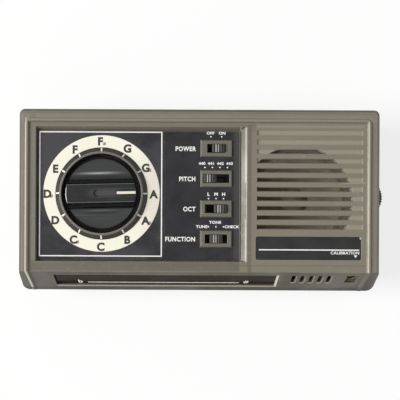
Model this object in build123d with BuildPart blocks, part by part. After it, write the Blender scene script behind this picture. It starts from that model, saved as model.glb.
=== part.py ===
"""Desktop chromatic tuner: a two-shell housing with a recessed control panel.

Millimetres.  +X is the player's right, -Y is the front, +Z is up.
The origin is the middle of the footprint, on the table.
"""

import os
from math import atan2, cos, degrees, hypot, radians, sin, sqrt, tan

from build123d import *

os.makedirs("parts", exist_ok=True)

# ---------------------------------------------------------------- driving sizes
# Housing
deck_w = 180.0            # width of the top face
deck_rear_y = 45.2        # rear edge of the top face
deck_front_y = -35.8      # front edge of the top face
deck_z = 38.8             # height of the top face
nose_y = deck_front_y - 11.2    # lowest front edge of the sloping face
part_z = 19.0             # joint between the two shells
nose_z = part_z + 1.5     # height of that lowest edge
foot_h = 1.5              # height of the rubber feet
wall = 2.0                # wall of both shells
upper_draft = 5.0         # degrees, sides of the upper shell
lower_draft = 8.0         # degrees, undercut of the lower shell
rear_corner_r = 4.4
front_corner_r = 3.2
deck_bevel = 1.4          # round the top face
joint_groove = 0.5        # shadow line between the shells

# Ridge that frames the top face and runs down the front
ridge_left = 3.0          # from the left edge of the deck
ridge_right = 4.2
ridge_rear = 4.5
ridge_w = 2.2
ridge_h = 0.9
ridge_chamfer = 0.6
ridge_corner_r = 3.0

# Control panel and its recess
panel_left = -deck_w / 2 + 8.9
panel_right = 0.114 * deck_w
panel_rear = deck_rear_y - 10.2
panel_front = deck_front_y + 5.6
panel_t = 0.8
panel_depth = 1.6         # panel face below the deck
panel_gap = 0.15
recess_slope = 0.6        # run of the left and front walls, seen from above
recess_slope_rear = 1.5
recess_slope_right = 3.3  # the wide slope beside the grille

# Dial and its knob
dial_x = panel_left + 32.1
dial_y = panel_front + 33.3
well_r = 19.9
collar_crest_r = well_r + 0.8
collar_r = collar_crest_r + 2.2    # foot of the raised collar
collar_h = 2.0            # collar above the panel face
well_depth = 6.2          # well floor below the panel face
knob_r = well_r - 2.3
knob_flange_r = well_r - 0.6
knob_flange_t = 1.6
knob_rise = 3.8           # knob top above the panel face
knob_lift = 0.3           # running gap under the knob
knob_turn = 1.5           # degrees the handle stands off the note
bar_w = 9.2               # handle width
bar_lean = 0.6            # each side widens downwards by
bar_edge_r = 0.3
trough_depth = 4.6        # beside the handle, below its top
trough_r = 1.2
crest_out = 9.2           # soft crest, from the middle of the knob
crest_depth = 3.2
crest_r = 5.0
rim_depth = 5.6
knob_edge_r = 0.8
pointer_w = 1.3
pointer_l = 9.3
pointer_in = 0.3          # from the rim of the knob
pointer_t = 0.4
channel_w = 4.0
channel_l = 19.4
channel_depth = 0.9
bush_r = 4.5
bush_l = 5.6
bush_gap = 0.1
shaft_r = 3.0
shaft_into_knob = 4.6
shaft_foot = 1.4          # floor under the shaft inside the switch
run_gap = 0.05            # radial clearance of a shaft in its bore
nut_af = 12.0
nut_t = 2.4
nut_room_r = 7.8          # hollow under the knob
nut_room_h = 3.6
rotary_r = 13.0
rotary_h = 8.2
rotary_gap = 1.6          # to the edge of the main board

# Slide switches
switch_x = panel_right - 12.1
switch_top_y = panel_rear - 9.1
switch_pitch = 15.1
frame_w = 16.2            # moulded frame round each slot
frame_d = 8.7
frame_h = 1.0             # above the panel face
frame_bevel = 30.0        # degrees
slot_d = 4.5
cap_w = 6.4               # sliding cap
cap_d = 3.9
cap_rise = 0.8            # above its frame
cap_t = 2.3
cap_rib_count = 5
cap_groove = 0.4
slide_step = 2.1          # one switch position
slide_end_gap = 0.35
stem_w = 4.0
stem_d = 2.2
slide_gap = 0.3           # round everything that slides
slider_w = 5.6              # slider inside the switch
slider_d = 4.4
slider_t = 3.4
switch_wall = 1.2
switch_body_h = 6.4
SWITCHES = (              # name, positions, position shown at rest
    ("power", 2, 1),
    ("pitch", 4, 0),
    ("octave", 3, 2),
    ("function", 3, 1),
)

# Grille and loudspeaker
grille_left = panel_right + 8.2
grille_right = deck_w / 2 - 8.6
slot_top_y = deck_rear_y - 20.9   # rearmost slot that is open
slot_h = 1.8
slot_clear = 4.7          # last slot from the name plate
open_slot_count = 9
blind_groove_count = 2    # closed grooves behind the open ones
groove_h = 2.5            # shallow groove that each slot lies in
groove_depth = 0.6
grille_r = 0.5256 * (grille_right - grille_left)
speaker_r = grille_r + 0.8
speaker_forward = 5.8     # its middle in front of the middle slot
basket_t = 0.9
basket_gap = 0.7          # to the volume wheel
flange_w = 3.5
flange_t = 1.0
flange_drop = 0.2         # below the slab
cone_r = speaker_r - 3.6
basket_ledge = 1.4        # shelf that carries the cone's rim
dust_cap_h = 3.4
cone_depth = 6.5
coil_r = 7.0
basket_depth = 9.5
basket_foot_r = 0.58 * speaker_r
basket_window_count = 4
window_hole_r = 3.4
cone_t = 0.5
surround_w = 4.0
magnet_r = basket_foot_r - 0.5
magnet_h = 8.0
magnet_bevel = 1.6
clip_r = 4.4
clip_t = 0.8
clip_post_r = 2.6
clip_screw_l = 3.4        # in the post
speaker_ring_w = 1.2
clip_ring_r = speaker_r + 3.1
clip_angles = (90, 210, 330)

# Name plate recess at the right front
badge_left = grille_left - 0.5
badge_right = grille_right - 0.6
badge_rear = deck_front_y + 17.8
badge_front = deck_front_y + 6.1
badge_t = 0.6
badge_sunk = 0.2
badge_corner_r = 0.9

# Sloping front: distances down the slope from the deck edge
window_left = -deck_w / 2 + 16.6
window_right = panel_right + 19.1
window_top = 3.9
window_bottom = 15.6
lens_t = 1.2
lens_sunk = 1.1
lens_lip = 1.6            # ledge that carries the lens
lens_ledge_t = 1.2
cal_x = deck_w / 2 - 12.3
mic_x = (window_right + cal_x) / 2 - 1.4
mic_pitch = 4.5
mic_slot_count = 5
mic_slot_w = 2.2
mic_slot_l = 7.2
mic_down = 7.6            # middle of the slots
cal_down = 7.6
cal_w = 5.6
cal_l = 8.0
cal_depth = 1.3
cal_hole_r = 2.0

# Indicator board behind the front
lamp_pitch = 7.5
lamp_count = 11
lamp_w = 5.0
lamp_h = 2.5
lamp_t = 3.2
board_t = 1.6
front_board_back = 8.2    # board face behind the sloping face
front_board_top = 6.0
front_board_bottom = 17.4
front_board_left = window_left - 0.6
front_board_right = deck_w / 2 - 7.0
shroud_t = 5.2
shroud_wall = 1.2
mic_r = 4.7
mic_h = 4.6
mic_sunk = 0.5            # capsule behind the inside of the wall
boot_wall = 1.4
mic_collar_l = 3.0
trimmer_w = 7.0
trimmer_h = 4.0
trimmer_floor = 1.6
trimmer_rotor_r = 1.7
trimmer_rotor_l = 1.9

# Main board
main_top_z = deck_z - 13.8
main_left = -deck_w / 2 + 11.0
main_rear = deck_rear_y - 4.0
main_front = deck_front_y + 6.5
board_post_r = 3.0
board_post_in = 5.0       # from the edge of the board
board_post_right_in = 8.0
screw_r = 1.3
screw_head_r = 2.6
screw_head_t = 1.6
head_gap = 0.5            # round a sunk head
chip_l = 36.0
chip_w = 13.6
chip_t = 4.0
capacitor_r = 3.2
capacitor_h = 8.2
chip_y = dial_y + 5.6
capacitor_row_x = dial_x - 3.0
capacitor_row_y = main_rear - 11.5
capacitor_row_pitch = 9.0
capacitor_count = 4

# Volume control
wheel_r = 9.7
wheel_t = 3.6
wheel_proud = 2.7         # wheel stands out of the side
wheel_y = (deck_rear_y + deck_front_y) / 2 - 2.8
wheel_z = deck_z - 9.0
wheel_notch_count = 44
wheel_notch_r = 0.4
wheel_slot_gap = 0.7
spindle_r = 2.5
pot_r = 5.0
pot_h = 7.0
pot_floor = 1.6
volume_board_w = 14.0
volume_board_d = 24.0
volume_board_in = 2.5     # board middle inside the spindle

# Jacks in the rear wall
jack_z = foot_h + 10.0
jack_xs = (-0.367 * deck_w, -0.264 * deck_w)
jack_w = 13.6
jack_h = 12.6
jack_l = 24.0
jack_bore_r = 3.25
jack_nose_r = 5.4
jack_proud = 0.5
jack_wall_gap = 1.2       # from the wall to the body of a jack
cradle_in = 1.5           # support inside the edge of a jack
dc_x = 0.344 * deck_w
dc_w = 9.4
dc_h = 11.0
dc_l = 13.0
dc_bore_r = 2.8
dc_pin_r = 1.0
dc_nose_r = 4.2
dc_depth = 9.0

# Batteries and their compartment
cell_r = 7.25
cell_l = 49.5
nub_r = 2.75
nub_l = 1.0
cell_count = 4
cell_pitch = 14.9
bay_wall = 1.5
bay_gap = 1.0             # from the output jack to the battery bay
bay_in = 9.7              # from the rear of the base to the bay
contact_room = 3.0        # at each end of the cell_count
contact_t = 0.5
contact_w = 9.0
bay_head = 0.4            # free height above the cell_count
door_t = 1.9
door_gap = 0.3
tongue_t = 0.7
tongue_w = 1.1
grip_rib_count = 5
grip_pitch = 1.6
grip_w = 16.0

# Feet and case screws
foot_r = 5.5
foot_x = deck_w / 2 - 19.0
foot_front_y = deck_front_y + 0.5
foot_rear_y = deck_rear_y - 9.5
case_screw_x = deck_w / 2 - 6.5
case_screw_rear_y = deck_rear_y - 7.0
case_screw_front_y = deck_front_y + 14.5
case_post_r = 3.4
case_boss_r = 4.4
boss_rise = 1.0           # bosses meet the posts above the joint
case_head_depth = 4.5     # counterbore below the head
case_screw_l = 26.0
screw_l = 7.0
foot_seat = 0.4

# ---------------------------------------------------------------- worked out
slot_pitch = (slot_top_y - badge_rear - slot_clear) / (open_slot_count - 1)
top_skin_z = deck_z - wall
panel_z = deck_z - panel_depth
recess_floor_z = panel_z - panel_t
slab_z = recess_floor_z - wall
well_floor_z = panel_z - well_depth
well_under_z = well_floor_z - wall
knob_top_z = panel_z + knob_rise
knob_foot_z = well_floor_z + knob_lift
frame_top_z = panel_z + frame_h
cap_top_z = frame_top_z + cap_rise
flange_top_z = slab_z - flange_drop
flange_z = flange_top_z - flange_t
upper_rise = deck_z - part_z
base_w = deck_w + 2 * upper_rise * tan(radians(upper_draft))
base_rear_y = deck_rear_y + upper_rise * tan(radians(upper_draft))
base_d = base_rear_y - nose_y
base_y = (base_rear_y + nose_y) / 2
lower_rise = part_z - foot_h
lower_run = lower_rise * tan(radians(lower_draft))
floor_z = foot_h + wall
door_top_z = foot_h + door_t
bay_left = jack_xs[1] + jack_w / 2 + bay_gap + bay_wall
bay_right = bay_left + cell_count * cell_pitch
bay_rear = base_rear_y - bay_in
bay_front = bay_rear - cell_l - nub_l - 2 * contact_room
cell_z = floor_z + bay_head + cell_r
bay_roof_z = cell_z + cell_r + bay_head
main_under_z = main_top_z - board_t
boot_r = mic_r + boot_wall
slope_l = hypot(deck_front_y - nose_y, deck_z - nose_z)
side_x = deck_w / 2 + (deck_z - wheel_z) * tan(radians(upper_draft))
side_in_x = side_x - 1.5 * wall
wheel_x = side_x + wheel_proud - wheel_r
speaker_y = slot_top_y - (open_slot_count - 1) / 2 * slot_pitch - speaker_forward
basket_run = speaker_r - flange_w + basket_t - basket_foot_r
basket_room = basket_foot_r + basket_run * (wheel_z + wheel_t / 2 - flange_z) / basket_depth
speaker_x = wheel_x - wheel_r - basket_gap - basket_room - basket_run
main_right = speaker_x - magnet_r - 4.1
chip_x = (dial_x + rotary_r + switch_x - slider_w - slide_step) / 2
wheel_chord = 2 * sqrt(wheel_r**2 - (side_in_x - wheel_x) ** 2)
grille_mid_x = (grille_left + grille_right) / 2
window_w = window_right - window_left
window_x = (window_left + window_right) / 2
window_h = window_bottom - window_top
window_down = (window_top + window_bottom) / 2

# The sloping face: origin on the deck edge, local y runs up the slope.
front_plane = Plane(
    origin=(0, deck_front_y, deck_z),
    x_dir=(1, 0, 0),
    z_dir=(0, nose_z - deck_z, deck_front_y - nose_y),
)


front_axis = Axis(front_plane.origin, front_plane.y_dir)
front_normal = Axis(front_plane.origin, front_plane.z_dir)
ridge_mitre = ridge_h * tan(radians(front_axis.angle_between(Axis.Y)) / 2)


def down_slope(x, down, back=0.0):
    """Plane parallel to the sloping face, down it and behind it, centred on x."""
    return Plane(
        origin=front_plane.from_local_coords((x, -down, -back)),
        x_dir=front_plane.x_dir,
        z_dir=front_plane.z_dir,
    )


def switch_y(index):
    """Y of the switch in the column, counted from the rear."""
    return switch_top_y - index * switch_pitch


def slot_w(positions):
    """Length of the slot that a cap with so many positions needs."""
    return cap_w + (positions - 1) * slide_step + 2 * slide_end_gap


def cap_x(positions, shown):
    """X of the cap at the position shown, counted from the left."""
    return switch_x + (shown - (positions - 1) / 2) * slide_step


def export(builder, label):
    """Name a finished piece and write its STEP file."""
    builder.part.label = label
    export_step(builder.part, f"parts/{label}.step")


# ---------------------------------------------------------------- housing blocks
def upper_block(inset):
    """Outside of the upper shell, drawn in by an inset for its inside."""
    with BuildPart() as block:
        with BuildSketch(Plane.YZ):
            with BuildLine():
                Polyline(
                    (base_rear_y, part_z - 2 * inset),
                    (base_rear_y, deck_z),
                    (deck_front_y, deck_z),
                    (nose_y, nose_z),
                    (nose_y, part_z - 2 * inset),
                    close=True,
                )
            make_face()
            if inset:
                offset(amount=-inset, kind=Kind.INTERSECTION)
        extrude(amount=base_w / 2, both=True)
        with BuildSketch(Plane.XY.offset(part_z)) as plan:
            with Locations((0, base_y)):
                Rectangle(base_w - 2 * inset, base_d - 2 * inset)
            fillet(plan.vertices().group_by(Axis.Y)[0], front_corner_r - inset)
            fillet(plan.vertices().group_by(Axis.Y)[-1], rear_corner_r - inset)
        extrude(amount=upper_rise + wall, taper=upper_draft, mode=Mode.INTERSECT)
    return block.part


def lower_block(inset):
    """Outside of the lower shell, narrowing towards the table."""
    with BuildPart() as block:
        bevel = 0 if inset else joint_groove
        for height, run in (
            (part_z, bevel),
            (part_z - joint_groove, 0),
            (foot_h + inset, lower_run),
        ):
            with BuildSketch(Plane.XY.offset(height)) as plan:
                with Locations((0, base_y)):
                    Rectangle(base_w - 2 * (inset + run), base_d - 2 * (inset + run))
                fillet(plan.vertices().group_by(Axis.Y)[0], front_corner_r - inset)
                fillet(plan.vertices().group_by(Axis.Y)[-1], rear_corner_r - inset)
        loft(ruled=True)
    return block.part


upper_inside = upper_block(wall)
lower_inside = lower_block(wall)

case_screw_spots = [
    (side * case_screw_x, y)
    for side in (-1, 1)
    for y in (case_screw_front_y, case_screw_rear_y)
]
board_post_spots = [
    (x, y)
    for x in (main_left + board_post_in, main_right - board_post_right_in)
    for y in (main_front + board_post_in, main_rear - board_post_in)
]
speaker_clip_spots = [
    (
        speaker_x + clip_ring_r * cos(radians(angle)),
        speaker_y + clip_ring_r * sin(radians(angle)),
    )
    for angle in clip_angles
]

volume_board_z = wheel_z - wheel_t / 2 - slide_gap - pot_h - board_t
volume_post_spots = [
    (wheel_x - volume_board_in, wheel_y + side * (volume_board_d / 2 - board_post_r))
    for side in (-1, 1)
]
case_bite = foot_h + case_head_depth + case_screw_l - part_z - boss_rise
foot_spots = [(side * foot_x, y) for side in (-1, 1) for y in (foot_front_y, foot_rear_y)]

# ---------------------------------------------------------------- upper shell
with BuildPart() as upper_case:
    add(upper_block(0))
    deck_rim = (
        upper_case.faces()
        .sort_by(Axis.Z)[-1]
        .edges()
        .sort_by(Axis.Y)[1:]
    )
    chamfer(deck_rim, deck_bevel)

    # Ridge round three sides of the deck, then down both ends of the front.
    # Both lengths run past the deck's front edge to meet in a mitre.
    ridge_x0 = -deck_w / 2 + ridge_left
    ridge_x1 = deck_w / 2 - ridge_right
    ridge_y0 = deck_front_y - ridge_mitre
    ridge_y1 = deck_rear_y - ridge_rear
    with BuildSketch(Plane.XY.offset(deck_z)) as ridge_plan:
        with BuildLine():
            Polyline(
                (ridge_x0, ridge_y0),
                (ridge_x0, ridge_y1),
                (ridge_x1, ridge_y1),
                (ridge_x1, ridge_y0),
                (ridge_x1 - ridge_w, ridge_y0),
                (ridge_x1 - ridge_w, ridge_y1 - ridge_w),
                (ridge_x0 + ridge_w, ridge_y1 - ridge_w),
                (ridge_x0 + ridge_w, ridge_y0),
                close=True,
            )
        make_face()
        outer_bends = ridge_plan.vertices().group_by(Axis.Y)[-1]
        fillet(outer_bends, ridge_corner_r)
    extrude(amount=ridge_h)
    ridge_top = upper_case.faces().sort_by(Axis.Z)[-1]
    ridge_edges = ridge_top.edges().filter_by(lambda e: e.center().Y > ridge_y0 + ridge_w / 2)
    chamfer(ridge_edges, ridge_chamfer)
    for left in (ridge_x0, ridge_x1 - ridge_w):
        with BuildSketch(down_slope(left + ridge_w / 2, (slope_l - ridge_mitre) / 2)):
            Rectangle(ridge_w, slope_l + ridge_mitre)
        extrude(amount=ridge_h)
        along = upper_case.edges(Select.LAST).filter_by(front_axis)
        chamfer(along.sort_by(front_normal)[-2:], ridge_chamfer)
    with BuildSketch(Plane.XY.offset(part_z)) as plan:
        with Locations((0, base_y)):
            Rectangle(base_w + panel_gap, base_d + panel_gap)
        fillet(plan.vertices().group_by(Axis.Y)[0], front_corner_r)
        fillet(plan.vertices().group_by(Axis.Y)[-1], rear_corner_r)
    extrude(amount=upper_rise + 2 * ridge_h, taper=upper_draft, mode=Mode.INTERSECT)
    add(upper_inside, mode=Mode.SUBTRACT)

    # Slab under the panel recess, and the dial's well.
    with BuildSketch(Plane.XY.offset(slab_z)):
        with Locations(
            (
                (panel_left + panel_right + recess_slope_right - recess_slope) / 2,
                (panel_rear + panel_front) / 2,
            )
        ):
            Rectangle(
                panel_right - panel_left + 2 * recess_slope_right,
                panel_rear - panel_front + 2 * recess_slope_rear,
            )
    extrude(amount=deck_z - slab_z - wall / 2)
    with BuildSketch(Plane.XY.offset(well_under_z)):
        with Locations((dial_x, dial_y)):
            Circle(well_r + wall)
    extrude(amount=slab_z - well_under_z)

    # Ring that locates the loudspeaker, then the posts of the loudspeaker's
    # clips, of the main board and of the case screws, each with its hole.
    with BuildSketch(Plane.XY.offset(flange_top_z)):
        with Locations((speaker_x, speaker_y)):
            Circle(speaker_r)
            Circle(speaker_r - speaker_ring_w, mode=Mode.SUBTRACT)
    extrude(amount=top_skin_z - flange_top_z)
    for spots, low_z, high_z, radius, depth in (
        (speaker_clip_spots, flange_z, top_skin_z, clip_post_r, clip_screw_l),
        (board_post_spots, main_top_z, slab_z, board_post_r, screw_l),
        (case_screw_spots, part_z + boss_rise, top_skin_z, case_post_r, case_bite),
    ):
        with BuildSketch(Plane.XY.offset(low_z)):
            with Locations(*spots):
                Circle(radius)
        extrude(amount=high_z - low_z)
        with BuildSketch(Plane.XY.offset(low_z)):
            with Locations(*spots):
                Circle(screw_r)
        extrude(amount=depth, mode=Mode.SUBTRACT)

    # Recess with sloping walls, the right one wide.
    for height, run, run_rear, run_right in (
        (recess_floor_z, 0, 0, 0),
        (deck_z, recess_slope, recess_slope_rear, recess_slope_right),
    ):
        with BuildSketch(Plane.XY.offset(height)):
            with Locations(
                (
                    (panel_left - run + panel_right + run_right) / 2,
                    (panel_front - run + panel_rear + run_rear) / 2,
                )
            ):
                Rectangle(
                    panel_right - panel_left + run + run_right,
                    panel_rear - panel_front + run + run_rear,
                )
    loft(mode=Mode.SUBTRACT)

    # Raised collar round the knob, then the well inside it.
    with BuildSketch(Plane.XY.offset(recess_floor_z)):
        with Locations((dial_x, dial_y)):
            Circle(collar_r)
    extrude(amount=panel_t)
    with BuildSketch(Plane.XY.offset(panel_z)):
        with Locations((dial_x, dial_y)):
            Circle(collar_r)
    extrude(
        amount=collar_h,
        taper=degrees(atan2(collar_r - collar_crest_r, collar_h)),
    )
    with BuildSketch(Plane.XY.offset(well_floor_z)):
        with Locations((dial_x, dial_y)):
            Circle(well_r)
    extrude(amount=deck_z, mode=Mode.SUBTRACT)
    with Locations((dial_x, dial_y, well_floor_z)):
        Hole(bush_r + bush_gap, depth=wall)

    # Frames and slots of the slide switches.
    for index, (_, positions, _) in enumerate(SWITCHES):
        with BuildSketch(Plane.XY.offset(recess_floor_z)):
            with Locations((switch_x, switch_y(index))):
                Rectangle(frame_w, frame_d)
        extrude(amount=panel_t)
        with BuildSketch(Plane.XY.offset(panel_z)):
            with Locations((switch_x, switch_y(index))):
                Rectangle(frame_w, frame_d)
        extrude(amount=frame_h, taper=frame_bevel)
        with BuildSketch(Plane.XY.offset(slab_z)):
            with Locations((switch_x, switch_y(index))):
                Rectangle(slot_w(positions), slot_d)
        extrude(amount=deck_z, mode=Mode.SUBTRACT)

    # Grille: shallow grooves over the whole field, open inside the circle.
    groove_count = open_slot_count + blind_groove_count
    groove_mid_y = slot_top_y + (blind_groove_count - (groove_count - 1) / 2) * slot_pitch
    with BuildSketch(Plane.XY.offset(deck_z - groove_depth)):
        with Locations((grille_mid_x, groove_mid_y)):
            with GridLocations(0, slot_pitch, 1, groove_count):
                Rectangle(grille_right - grille_left, groove_h)
    extrude(amount=groove_depth, mode=Mode.SUBTRACT)
    slot_mid_y = slot_top_y - (open_slot_count - 1) / 2 * slot_pitch
    with BuildSketch(Plane.XY.offset(top_skin_z)):
        with Locations((grille_mid_x, slot_mid_y)):
            with GridLocations(0, slot_pitch, 1, open_slot_count):
                Rectangle(grille_right - grille_left, slot_h)
        with Locations((speaker_x, speaker_y)):
            Circle(grille_r, mode=Mode.INTERSECT)
    extrude(amount=wall, mode=Mode.SUBTRACT)

    # Name plate recess.
    with BuildSketch(Plane.XY.offset(deck_z)):
        with Locations(
            ((badge_left + badge_right) / 2, (badge_rear + badge_front) / 2)
        ):
            RectangleRounded(
                badge_right - badge_left, badge_rear - badge_front, badge_corner_r
            )
    extrude(amount=-(badge_t + badge_sunk), mode=Mode.SUBTRACT)

    # Ledge behind the window, then the window, microphone slots and
    # calibration pocket in the sloping front.
    with BuildSketch(down_slope(window_x, window_down, wall + lens_ledge_t)):
        Rectangle(window_w + 2 * lens_lip, window_h + 2 * lens_lip)
    extrude(amount=lens_ledge_t + wall / 2)
    with BuildSketch(down_slope(window_x, window_down)):
        Rectangle(window_w, window_h)
    extrude(amount=-(lens_sunk + lens_t), mode=Mode.SUBTRACT)
    with BuildSketch(down_slope(window_x, window_down)):
        Rectangle(window_w - 2 * lens_lip, window_h - 2 * lens_lip)
    extrude(amount=-(wall + 2 * lens_ledge_t), mode=Mode.SUBTRACT)
    with BuildSketch(down_slope(mic_x, mic_down)):
        with GridLocations(mic_pitch, 0, mic_slot_count, 1):
            Rectangle(mic_slot_w, mic_slot_l)
    extrude(amount=-2 * wall, mode=Mode.SUBTRACT)
    with BuildSketch(down_slope(cal_x, cal_down)):
        Rectangle(cal_w, cal_l)
    extrude(amount=-cal_depth, mode=Mode.SUBTRACT)
    with BuildSketch(down_slope(cal_x, cal_down)):
        Circle(cal_hole_r)
    extrude(amount=-2 * wall, mode=Mode.SUBTRACT)

    # Slot in the right side for the volume wheel.
    with BuildSketch(Plane.YZ.offset(wheel_x)):
        with Locations((wheel_y, wheel_z)):
            Rectangle(
                wheel_chord + 2 * wheel_slot_gap, wheel_t + 2 * wheel_slot_gap
            )
    extrude(amount=base_w / 2, mode=Mode.SUBTRACT)

    # Collar that holds the microphone's rubber boot.
    with BuildSketch(down_slope(mic_x, mic_down, wall + mic_collar_l)):
        Circle(boot_r + boot_wall)
        Circle(boot_r, mode=Mode.SUBTRACT)
    extrude(amount=mic_collar_l)
export(upper_case, "upper_case")

# ---------------------------------------------------------------- lower shell
bay_x = (bay_left + bay_right) / 2
bay_w = bay_right - bay_left
bay_y = (bay_front + bay_rear) / 2
bay_l = bay_rear - bay_front
tongue_z = door_top_z - tongue_t
rear_face_y = base_rear_y - (part_z - jack_z) * tan(radians(lower_draft))
jack_face_y = rear_face_y + jack_proud
jack_body_y = rear_face_y - wall - jack_wall_gap


def rear_plane(x, y, z):
    """Plane that faces the rear, centred on the point."""
    return Plane(origin=(x, y, z), x_dir=(-1, 0, 0), z_dir=(0, 1, 0))


with BuildPart() as lower_case:
    add(lower_block(0))
    add(lower_inside, mode=Mode.SUBTRACT)

    # Battery bay: four walls and a roof, and a floor over the door behind it.
    with BuildSketch(Plane.XY.offset(floor_z)):
        with Locations((bay_x, bay_y)):
            Rectangle(bay_w + 2 * bay_wall, bay_l + 2 * bay_wall)
    extrude(amount=bay_roof_z + bay_wall - floor_z)
    with BuildSketch(Plane.XY.offset(door_top_z + door_gap)):
        with Locations((bay_x, (bay_rear + rear_face_y - wall) / 2)):
            Rectangle(bay_w + 2 * bay_wall, rear_face_y - wall - bay_rear)
    extrude(amount=jack_z - jack_h / 2 - door_top_z - 2 * door_gap)
    with BuildSketch(Plane.XY.offset(foot_h)):
        with Locations((bay_x, bay_y)):
            Rectangle(bay_w, bay_l)
    extrude(amount=bay_roof_z - foot_h, mode=Mode.SUBTRACT)

    # Way for the door out through the rear edge, with a groove for its tongues.
    with BuildSketch(Plane.XY.offset(foot_h)):
        with Locations((bay_x, bay_front)):
            Rectangle(bay_w, base_d, align=(Align.CENTER, Align.MIN))
    extrude(amount=door_t + door_gap, mode=Mode.SUBTRACT)
    with BuildSketch(Plane.XY.offset(tongue_z - door_gap)):
        with Locations((bay_x, bay_front - tongue_w - door_gap)):
            Rectangle(
                bay_w + 2 * (tongue_w + door_gap),
                base_d,
                align=(Align.CENTER, Align.MIN),
            )
    extrude(amount=tongue_t + 2 * door_gap, mode=Mode.SUBTRACT)

    # Bosses for the case screws, counterbored from below.
    with BuildSketch(Plane.XY.offset(foot_h)):
        with Locations(*case_screw_spots):
            Circle(case_boss_r)
    extrude(amount=part_z + boss_rise - foot_h)
    with Locations(
        *[
            Location((x, y, foot_h), (180, 0, 0))
            for x, y in case_screw_spots
        ]
    ):
        CounterBoreHole(screw_r + slide_gap, screw_head_r + head_gap, case_head_depth)

    # Cradles under the jacks and posts under the volume board.
    with BuildSketch(Plane.XY.offset(floor_z)):
        for x in jack_xs:
            with Locations((x, jack_body_y - jack_l / 2)):
                Rectangle(jack_w - 2 * cradle_in, jack_l - 2 * cradle_in)
    extrude(amount=jack_z - jack_h / 2 - floor_z)
    with BuildSketch(Plane.XY.offset(floor_z)):
        with Locations((dc_x, jack_body_y - dc_l / 2)):
            Rectangle(dc_w - 2 * cradle_in, dc_l - 2 * cradle_in)
    extrude(amount=jack_z - dc_h / 2 - floor_z)
    with BuildSketch(Plane.XY.offset(floor_z)):
        with Locations(*volume_post_spots):
            Circle(board_post_r)
    extrude(amount=volume_board_z - floor_z)
    with Locations(*[(x, y, volume_board_z) for x, y in volume_post_spots]):
        Hole(screw_r, depth=screw_l)

    # Holes for the jacks in the rear wall, and seats for the feet.
    for x in jack_xs:
        with BuildSketch(rear_plane(x, jack_face_y, jack_z)):
            Circle(jack_nose_r + panel_gap)
        extrude(amount=-3 * wall, mode=Mode.SUBTRACT)
    with BuildSketch(rear_plane(dc_x, jack_face_y, jack_z)):
        Circle(dc_nose_r + panel_gap)
    extrude(amount=-3 * wall, mode=Mode.SUBTRACT)
    with BuildSketch(Plane.XY.offset(foot_h)):
        with Locations(*foot_spots):
            Circle(foot_r + panel_gap)
    extrude(amount=foot_seat, mode=Mode.SUBTRACT)
export(lower_case, "lower_case")

# ---------------------------------------------------------------- battery door
with BuildPart() as battery_door:
    with BuildSketch(Plane.XY.offset(foot_h)):
        with Locations((bay_x, bay_front + door_gap)):
            Rectangle(
                bay_w - 2 * door_gap, base_d, align=(Align.CENTER, Align.MIN)
            )
    extrude(amount=door_t)
    with BuildSketch(Plane.XY.offset(tongue_z)):
        with Locations((bay_x, bay_front - tongue_w + door_gap)):
            Rectangle(
                bay_w + 2 * (tongue_w - door_gap),
                base_d,
                align=(Align.CENTER, Align.MIN),
            )
    extrude(amount=tongue_t)
    add(lower_block(0), mode=Mode.INTERSECT)
    with BuildSketch(Plane.XY.offset(foot_h)):
        with Locations((bay_x, bay_rear)):
            with GridLocations(0, grip_pitch, 1, grip_rib_count):
                Rectangle(grip_w, grip_pitch / 2)
    extrude(amount=door_t / 3, mode=Mode.SUBTRACT)
export(battery_door, "battery_door")

with BuildPart() as rubber_feet:
    with BuildSketch(Plane.XY):
        with Locations(*foot_spots):
            Circle(foot_r)
    extrude(amount=foot_h + foot_seat)
    chamfer(rubber_feet.edges().group_by(Axis.Z)[0], foot_h / 3)
export(rubber_feet, "rubber_feet")

# ---------------------------------------------------------------- screws


def screws(spots, seat_z, length, up=True):
    """Pan head screws, the underside of each head on the seat height."""
    side = 1 if up else -1
    with BuildPart() as group:
        with BuildSketch(Plane.XY.offset(seat_z)):
            with Locations(*spots):
                Circle(screw_head_r)
        extrude(amount=-side * screw_head_t)
        with BuildSketch(Plane.XY.offset(seat_z)):
            with Locations(*spots):
                Circle(screw_r - run_gap)
        extrude(amount=side * length)
    return group


case_screws = screws(case_screw_spots, foot_h + case_head_depth, case_screw_l)
export(case_screws, "case_screws")
board_screws = screws(board_post_spots, main_under_z, screw_l)
export(board_screws, "main_board_screws")
volume_screws = screws(volume_post_spots, volume_board_z + board_t, screw_l, up=False)
export(volume_screws, "volume_board_screws")
speaker_screws = screws(speaker_clip_spots, flange_z - clip_t, clip_t + clip_screw_l)
export(speaker_screws, "speaker_screws")

# ---------------------------------------------------------------- front plates
with BuildPart() as control_panel:
    with BuildSketch(Plane.XY.offset(recess_floor_z)):
        with Locations(
            ((panel_left + panel_right) / 2, (panel_rear + panel_front) / 2)
        ):
            Rectangle(
                panel_right - panel_left - 2 * panel_gap,
                panel_rear - panel_front - 2 * panel_gap,
            )
        with Locations((dial_x, dial_y)):
            Circle(collar_r + panel_gap, mode=Mode.SUBTRACT)
        with Locations((switch_x, switch_y((len(SWITCHES) - 1) / 2))):
            with GridLocations(0, switch_pitch, 1, len(SWITCHES)):
                Rectangle(
                    frame_w + 2 * panel_gap,
                    frame_d + 2 * panel_gap,
                    mode=Mode.SUBTRACT,
                )
    extrude(amount=panel_t)
export(control_panel, "control_panel")

with BuildPart() as badge_plate:
    with BuildSketch(Plane.XY.offset(deck_z - badge_sunk - badge_t)):
        with Locations(
            ((badge_left + badge_right) / 2, (badge_rear + badge_front) / 2)
        ):
            RectangleRounded(
                badge_right - badge_left - 2 * panel_gap,
                badge_rear - badge_front - 2 * panel_gap,
                badge_corner_r - panel_gap,
            )
    extrude(amount=badge_t)
export(badge_plate, "badge_plate")

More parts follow.
